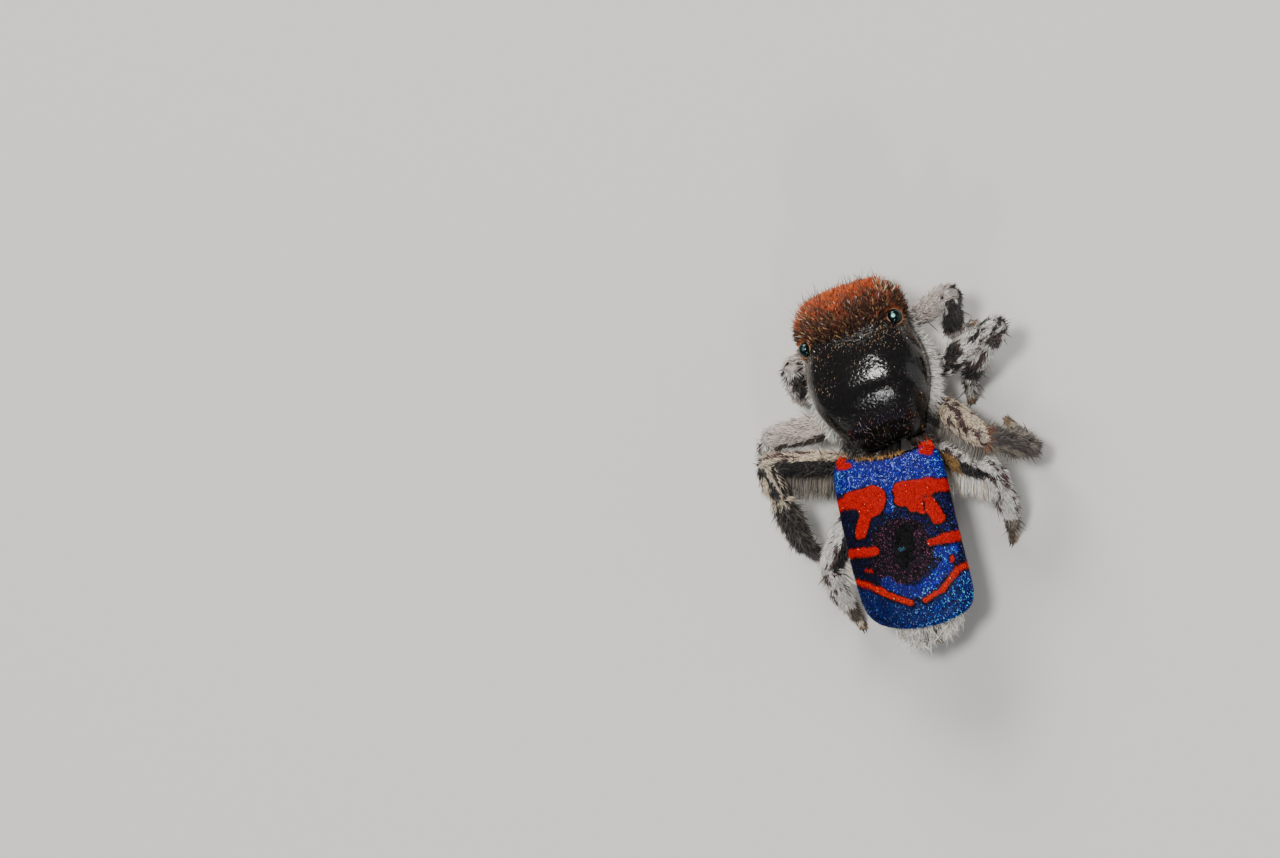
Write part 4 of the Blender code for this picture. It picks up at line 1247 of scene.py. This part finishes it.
def onPlate(spots):
    # how far aside of the plate's middle line each spot is, and how far back with the skew undone
    x = spots[:, 0] - plate["aside"]
    return x, spots[:, 1] + plate["skew"] * x


# the plate's net from its middle over the rim to the middle of its underside: share, scale, drop
plateRings = (
    (0.0, 0.0, 0.0), (0.44, 0.80, 0.0), (0.52, 0.93, -0.004), (0.56, 0.97, -0.016), (0.60, 0.99, -0.038),
    (0.64, 0.992, -0.07), (0.70, 0.985, -0.115), (0.74, 0.95, -0.13), (0.78, 0.85, -0.13),
    (0.9, 0.45, -0.13), (1.0, 0.0, -0.13),
)


def platePlace(u, v):
    at, scales, drops = zip(*plateRings)
    x, y = plateSpot(u, max(float(np.interp(v, at, scales)), 0.002))
    return Vector((x + plate["aside"], y, plateHeight(x, y) + float(np.interp(v, at, drops))))


def lineGap(x, y, ends):
    # distance from points to the line between two places
    (ax, ay), (bx, by) = ends
    wx, wy = bx - ax, by - ay
    share = np.clip(((x - ax) * wx + (y - ay) * wy) / (wx * wx + wy * wy), 0, 1)
    return np.hypot(x - ax - wx * share, y - ay - wy * share)


# figures of the plate: two ends and the half thickness, from the line they were measured on
marksMiddle = 0.05
redMarks = (
    ((-0.55, 0.22), (-0.56, 0.34), 0.065), ((-0.47, 0.33), (-0.56, 0.37), 0.045),
    ((0.60, 0.02), (0.62, 0.20), 0.050), ((0.60, 0.20), (0.50, 0.225), 0.045),
    ((0.29, 0.79), (0.30, 0.82), 0.195), ((0.36, 0.73), (0.56, 0.70), 0.120),
    ((0.56, 0.70), (0.76, 0.70), 0.082), ((0.38, 0.93), (0.51, 1.16), 0.082),
    ((-0.12, 0.78), (-0.11, 0.90), 0.100), ((-0.20, 0.84), (-0.26, 1.00), 0.115),
    ((-0.09, 0.73), (-0.34, 0.76), 0.062), ((-0.30, 0.82), (-0.47, 0.83), 0.115),
    ((-0.47, 0.83), (-0.76, 0.87), 0.084), ((-0.24, 0.98), (-0.33, 1.10), 0.066),
    ((-0.42, 1.05), (-0.50, 1.26), 0.084),
    ((0.72, 1.37), (0.39, 1.455), 0.057), ((-0.33, 1.553), (-0.50, 1.55), 0.040),
    ((-0.48, 1.55), (-0.76, 1.54), 0.066), ((0.56, 1.65), (0.49, 1.675), 0.016),
    ((-0.545, 1.80), (-0.54, 1.85), 0.022),
    ((0.72, 1.735), (0.51, 1.895), 0.034), ((0.51, 1.895), (0.31, 2.07), 0.036),
    ((0.31, 2.07), (0.10, 2.21), 0.034), ((-0.08, 2.23), (-0.32, 2.17), 0.030),
    ((-0.32, 2.17), (-0.58, 1.965), 0.034), ((-0.58, 1.965), (-0.76, 1.915), 0.038),
)
blueMarks = (
    ((0.34, 1.88), (0.16, 2.05)), ((0.16, 2.05), (-0.06, 2.10)), ((-0.06, 2.10), (-0.27, 2.00)),
    ((-0.27, 2.00), (-0.46, 1.88)), ((-0.46, 1.88), (-0.56, 1.70)), ((-0.56, 1.68), (-0.42, 1.68)),
    ((0.04, 0.62), (0.06, 0.94)),
)
tailSlit = ((-0.372, 1.00), (-0.358, 1.12))     # parts the right figure's tail from its block
fieldPlan = {
    "ragged": ((0.022, 11.0, 1.3), (0.020, 34.0, 4.1)),      # height, scale and seed of the edges' noise
    "blueHalf": 0.080, "rim": 0.020, "slitHalf": 0.011,
    "rear": (2.22, 0.72, -0.41), "band": (0.64, 0.14),       # where an edge crosses the middle, its slants
    "ring": ((0.06, 1.54), (0.41, 0.43)),                    # middle and half sizes
    "spot": (1.485, (0.13, 0.30), (0.97, 0.24)),             # place, half sizes, cosine and sine of its turn
}


def plateMarks(x, y):
    # which field each place of the plate belongs to, its edges a little ragged
    flat = np.stack([x, y, np.zeros(len(x))], axis=1)
    edge = sum(height * (cloud(flat, scale, seed) - 0.5) for height, scale, seed in fieldPlan["ragged"])
    field = np.full(len(x), "night", dtype=object)
    place, left, right = fieldPlan["rear"]
    field[y > place - np.where(x > 0, left, right) * x] = "rearBlue"      # behind the red chevron
    for ends in blueMarks:
        field[(lineGap(x, y, ends) + edge * 2 < fieldPlan["blueHalf"]) & (field == "night")] = "blue"
    place, slant = fieldPlan["band"]
    field[y < place - slant * x + edge] = "blue"
    field[(y < 0.20 + 0.10 * np.cos(x * 3.2) - 0.13 * x) & (np.abs(x + 0.01) < 0.46)] = "black"
    (middle, place), (wide, long) = fieldPlan["ring"]
    ring = np.hypot((x - middle) / wide, (y - place) / long) + edge * 5
    field[(ring < 1) & (field == "night")] = "speckled"
    place, (wide, long), (c, s) = fieldPlan["spot"]
    sideways, lengthwise = c * x - s * (y - place), s * x + c * (y - place)
    field[np.hypot(sideways / wide, lengthwise / long) + edge * 4 < 1] = "black"
    for first, second, half in redMarks:
        gap = lineGap(x, y, (first, second)) + edge
        field[(gap < half + fieldPlan["rim"]) & (y > 0.5)] = "black"
    for first, second, half in redMarks:
        field[lineGap(x, y, (first, second)) + edge < half] = "red"
    field[(lineGap(x, y, tailSlit) < fieldPlan["slitHalf"]) & (field == "red")] = "black"
    return field


# each field's ground, its sparkle, and the share of scales that sparkle
plateTints = {
    "night": ((0.002, 0.002, 0.014), (0.02, 0.05, 0.34), 0.24),
    "blue": ((0.003, 0.003, 0.15), (0.03, 0.05, 1.0), 0.60),
    "rearBlue": ((0.001, 0.006, 0.08), (0.012, 0.13, 0.85), 0.42),
    "speckled": ((0.004, 0.001, 0.005), (0.27, 0.08, 0.16), 0.26),
    "black": ((0.0008, 0.0008, 0.0015), (0.01, 0.01, 0.04), 0.02),
    "red": ((0.50, 0.002, 0.0006), (0.85, 0.012, 0.002), 0.5),
}
plateScaleLook = {
    "length": 0.027, "width": 0.0084, "lean": 0.12, "leanSpread": 0.08, "splay": 0.30, "curl": -0.05,
    "sink": 0.004, "outlineAt": (0, 0.4, 1), "outline": (0.6, 1.0, 0.0), "flat": 0.18,
    "sides": 4, "levels": (0.5,), "tilt": 0.28, "shadeAlong": (0.8, 1.05), "tries": 41000,
}
redScaleLook = dict(plateScaleLook, width=0.0074, lean=0.22)
earLook = dict(scaleHair, tries=14000, most=420, length=0.125, width=0.0090, lean=0.18, splay=0.12)
# odd scales: their tints, and the shares of scales that take them
oddTints = {
    # nightSpark is a painted glint: bright cyan dots on the dark field
    "violet": ((0.09, 0.02, 0.42), 0.10), "nightSpark": ((0.10, 0.42, 0.80), 0.015),
    "redSpark": (tints["cream"], 0.006),
}
# painted glints on the blue: pale and cyan tints, and the shares of scales on a thread and elsewhere that
# take them
threadLook = {"pale": (0.27, 0.40, 1.0), "cyan": (0.12, 0.60, 1.0), "onThread": 0.75, "elsewhere": 0.06}
bandEnd = 0.75      # the band of blue ahead ends here
scaleFinishLook = {"grain": 0.02, "mottle": 0.2, "Specular IOR Level": 0.12}
plateFinishLook = dict(scaleFinishLook, roughness=0.5, relief=0.004, reliefShare=0.5)


def makePlate():
    mesh = meshFrom(movedBall(220, 150, platePlace), "plate")
    spots, _ = spotsOf(mesh)
    field = plateMarks(spots[:, 0] - marksMiddle, spots[:, 1])
    paint(mesh, 0.75 * np.array([plateTints[name][0] for name in field]))
    piece = addPiece(mesh, "abdomenPlate", tintedFinish("plateFinish", plateFinishLook))
    finishPiece(piece, ["abdomen"])
    return surfaceOf(platePlace, 120, 120)


def plateScaleTints(x, y, field, rng):
    # each scale's tint by its field, with a sparkle that differs from scale to scale
    count = len(x)
    low, high, chance = (np.array([plateTints[name][i] for name in field]) for i in range(3))
    spark = ((rng.random(count) < chance) * rng.random(count) ** 0.6)[:, None]
    colours = (low + (high - low) * spark) * speckle(rng, (1, 1, 1), 0.22, count)
    night, red, blue = field == "night", field == "red", np.isin(field, ("blue", "rearBlue"))

    def oddOnes(where, name):
        tint, share = oddTints[name]
        colours[where & (rng.random(count) < share)] = tint

    oddOnes(blue | night, "violet")
    # painted glints: bright threads wander over the blue, whiter in the band, more cyan at its ends and
    # behind
    flat = np.stack([x, y, np.zeros(count)], axis=1)
    thread = np.abs(cloud(flat, 17.0, 8.1) - 0.5) < np.where(y < bandEnd, 0.055, 0.028)
    glint = rng.random(count) < np.where(thread, threadLook["onThread"], threadLook["elsewhere"])
    cyan = np.clip(np.where(y < bandEnd, (np.abs(x) - 0.45) * 4, 0.55 - x), 0, 1)[:, None]
    pale = np.array(threadLook["pale"]) * (1 - cyan) + np.array(threadLook["cyan"]) * cyan
    pale = pale * np.exp(0.35 * rng.normal(size=(count, 1)))
    colours[blue & glint] = pale[blue & glint]
    # painted glints: a few bright cyan dots on the dark field
    oddOnes(night, "nightSpark")
    dim = np.clip(0.50 + 1.1 * (0.25 - x), 0.30, 1.1)[:, None]      # the spider's left rear lies in shade
    colours *= np.where(((blue | night) & (y > bandEnd))[:, None], dim, 1.0)
    colours[red & (y > 1.72)] *= (1.1, 6.0, 1.5)      # the chevron is more orange
    oddOnes(red, "redSpark")
    colours[np.hypot((x - 0.037) / 0.045, (y - 1.514) / 0.028) < 1] = (0.05, 0.16, 0.24)      # a painted reflection: one small pale glint on the black spot
    return colours


def earChance(spots, outs):
    # an ear of longer red hairs stands on each front corner of the plate
    x, y = onPlate(spots)
    return (np.abs(x) > 0.47) * (np.abs(x) < 0.68) * (y < 0.24) * (outs[:, 2] > -0.3)


def earTint(roots, rng):
    aside, _ = onPlate(roots["spot"])
    roots["size"] = 1.1 - np.abs(np.abs(aside) - 0.60) * 5
    roots["uv"] = roots["uv"] * 0.02 + 0.975      # a corner of the map that the plate's scales leave free
    return speckle(rng, plateTints["red"][1], 0.15, len(aside))


def earLie(roots):
    sign = np.sign(onPlate(roots["spot"])[0])
    return np.stack([0.1 * sign, -np.ones(len(sign)), np.zeros(len(sign))], axis=1)


def makePlateScales(surface):
    rng = np.random.default_rng(53)
    roots = scatter(surface, plateScaleLook["tries"], rng, lambda spots, outs: outs[:, 2] > -0.2)
    cellOf(roots, 0, 0, 1, 1)
    x, y = roots["spot"][:, 0] - marksMiddle, roots["spot"][:, 1]
    roots["lie"] = np.stack([0.25 * x, np.ones(len(x)), np.zeros(len(x))], axis=1)
    field, ends = plateMarks(x, y), plateMarks(x, y + plateScaleLook["length"])
    same = (field == "red") == (ends == "red")      # no scale lies across the edge of a red figure
    roots, x, y, field = only(roots, same), x[same], y[same], field[same]
    roots["tint"] = plateScaleTints(x, y, field, rng)
    red, odd = field == "red", np.arange(len(x)) % 2 == 1
    shiny = tintedFinish("blueScaleFinish", dict(scaleFinishLook, roughness=0.36, metallic=0.30))
    for name, mine in (("plateScalesBlue", ~red & odd), ("plateScalesNight", ~red & ~odd)):
        coatPiece(name, [growTufts(only(roots, mine), plateScaleLook, rng)], shiny)
    grown = [
        growTufts(only(roots, red), redScaleLook, rng),
        hairsOn(surface, earLook, rng, earChance, earTint, earLie),
    ]
    matt = tintedFinish("redScaleFinish", dict(scaleFinishLook, roughness=0.60))
    coatPiece("plateScalesRed", grown, matt)


rearTuftLook = dict(
    fineHair, tries=15000, cell=(0, 0, 2, 2), length=0.30, lean=0.10, width=0.0078, levels=(0.35, 0.7),
    splay=0.22, lengthSpread=0.25, sway=0.15, mix=(("white", 0.9, 0.12), ("grey", 0.1, 0.3)),
)
bellyHairLook = dict(
    scaleHair, tries=6500, cell=(0, 1, 2, 2), length=0.12, lean=0.22,
    mix=(("straw", 0.55, 0.3), ("brown", 0.45, 0.3)),
)
fringeFrontLook = dict(
    fineHair, tries=20000, most=420, cell=(1, 0, 2, 2), length=0.10, lean=0.20, width=0.0060, splay=0.30,
    mix=(("gold", 0.5, 0.4), ("amber", 0.3, 0.3), ("black", 0.2, 0.2)),
)
abdomenHairFinishLook = {"roughness": 0.5, "grain": 0.06, "mottle": 0.12}


def rearChance(spots, outs):
    clumps = cloud(spots, 9.0, 0.0) > 0.44
    return (spots[:, 1] > 2.24) * (spots[:, 2] > 0.62) * clumps


def rearLie(roots):
    aside, _ = onPlate(roots["spot"])
    return np.stack([aside * 1.3, np.ones(len(aside)), np.full(len(aside), -0.05)], axis=1)


def frontChance(spots, outs):
    x, y = onPlate(spots)
    return (y < 0.34) * (np.abs(x - 0.06) < 0.30) * (outs[:, 2] > 0.0) * (0.25 + 0.75 * (y < 0.31))


def makeAbdomenHair(surface):
    rng = np.random.default_rng(61)
    belly = surfaceOf(bellyPlace, 60, 60)
    grown = [
        hairsOn(belly, rearTuftLook, rng, rearChance, None, rearLie),
        hairsOn(belly, bellyHairLook, rng, lambda spots, outs: spots[:, 1] > 0.16),
        hairsOn(surface, fringeFrontLook, rng, frontChance, None, (0.0, -1.0, 0.0)),
    ]
    coatPiece("abdomenHair", grown, tintedFinish("abdomenHairFinish", abdomenHairFinishLook))


# claws
clawLook = {
    "colour": (0.012, 0.009, 0.008), "roughness": 0.25, "length": 0.06, "radius": 0.010, "tip": 0.001,
    "ahead": 0.035, "aside": 0.018, "bend": 10, "lowest": 0.002,
}


def makeClaws():
    form = bmesh.new()
    for name in legPlan:
        wrist, foot = legPoints(name)[4:]
        way = foot - wrist
        way.z = 0
        way.normalize()
        beside = Vector((-way.y, way.x, 0))
        turn = way.to_track_quat("Z", "Y").to_matrix().to_4x4()
        for side in (-1, 1):
            root = foot + way * clawLook["ahead"] + beside * side * clawLook["aside"]
            middle = root + way * clawLook["length"] / 2
            made = bmesh.ops.create_cone(
                form, cap_ends=True, segments=8, radius1=clawLook["radius"], radius2=clawLook["tip"],
                depth=clawLook["length"], matrix=Matrix.Translation(middle) @ turn,
            )
            for corner in made["verts"]:
                reach = max(0.0, (corner.co - root).dot(way))
                corner.co.z = max(corner.co.z - clawLook["bend"] * reach ** 2, clawLook["lowest"])
    finish = plainFinish("clawFinish", clawLook["colour"], clawLook["roughness"])
    finishPiece(addPiece(meshFrom(form, "claws"), "footClaws", finish))


setCamera()
setLights()
setFloor()
print("camera, lights and floor set")
makeEyes()
makeEyeRims()
shellSurface = makeShell()
makeCap(shellSurface)
makeShellScales(shellSurface)
print("carapace dressed")
makeSkin()
makeLegCoats()
makeClaws()
print("legs dressed")
plateSurface = makePlate()
makePlateScales(plateSurface)
makeAbdomenHair(plateSurface)
print("abdomen dressed")
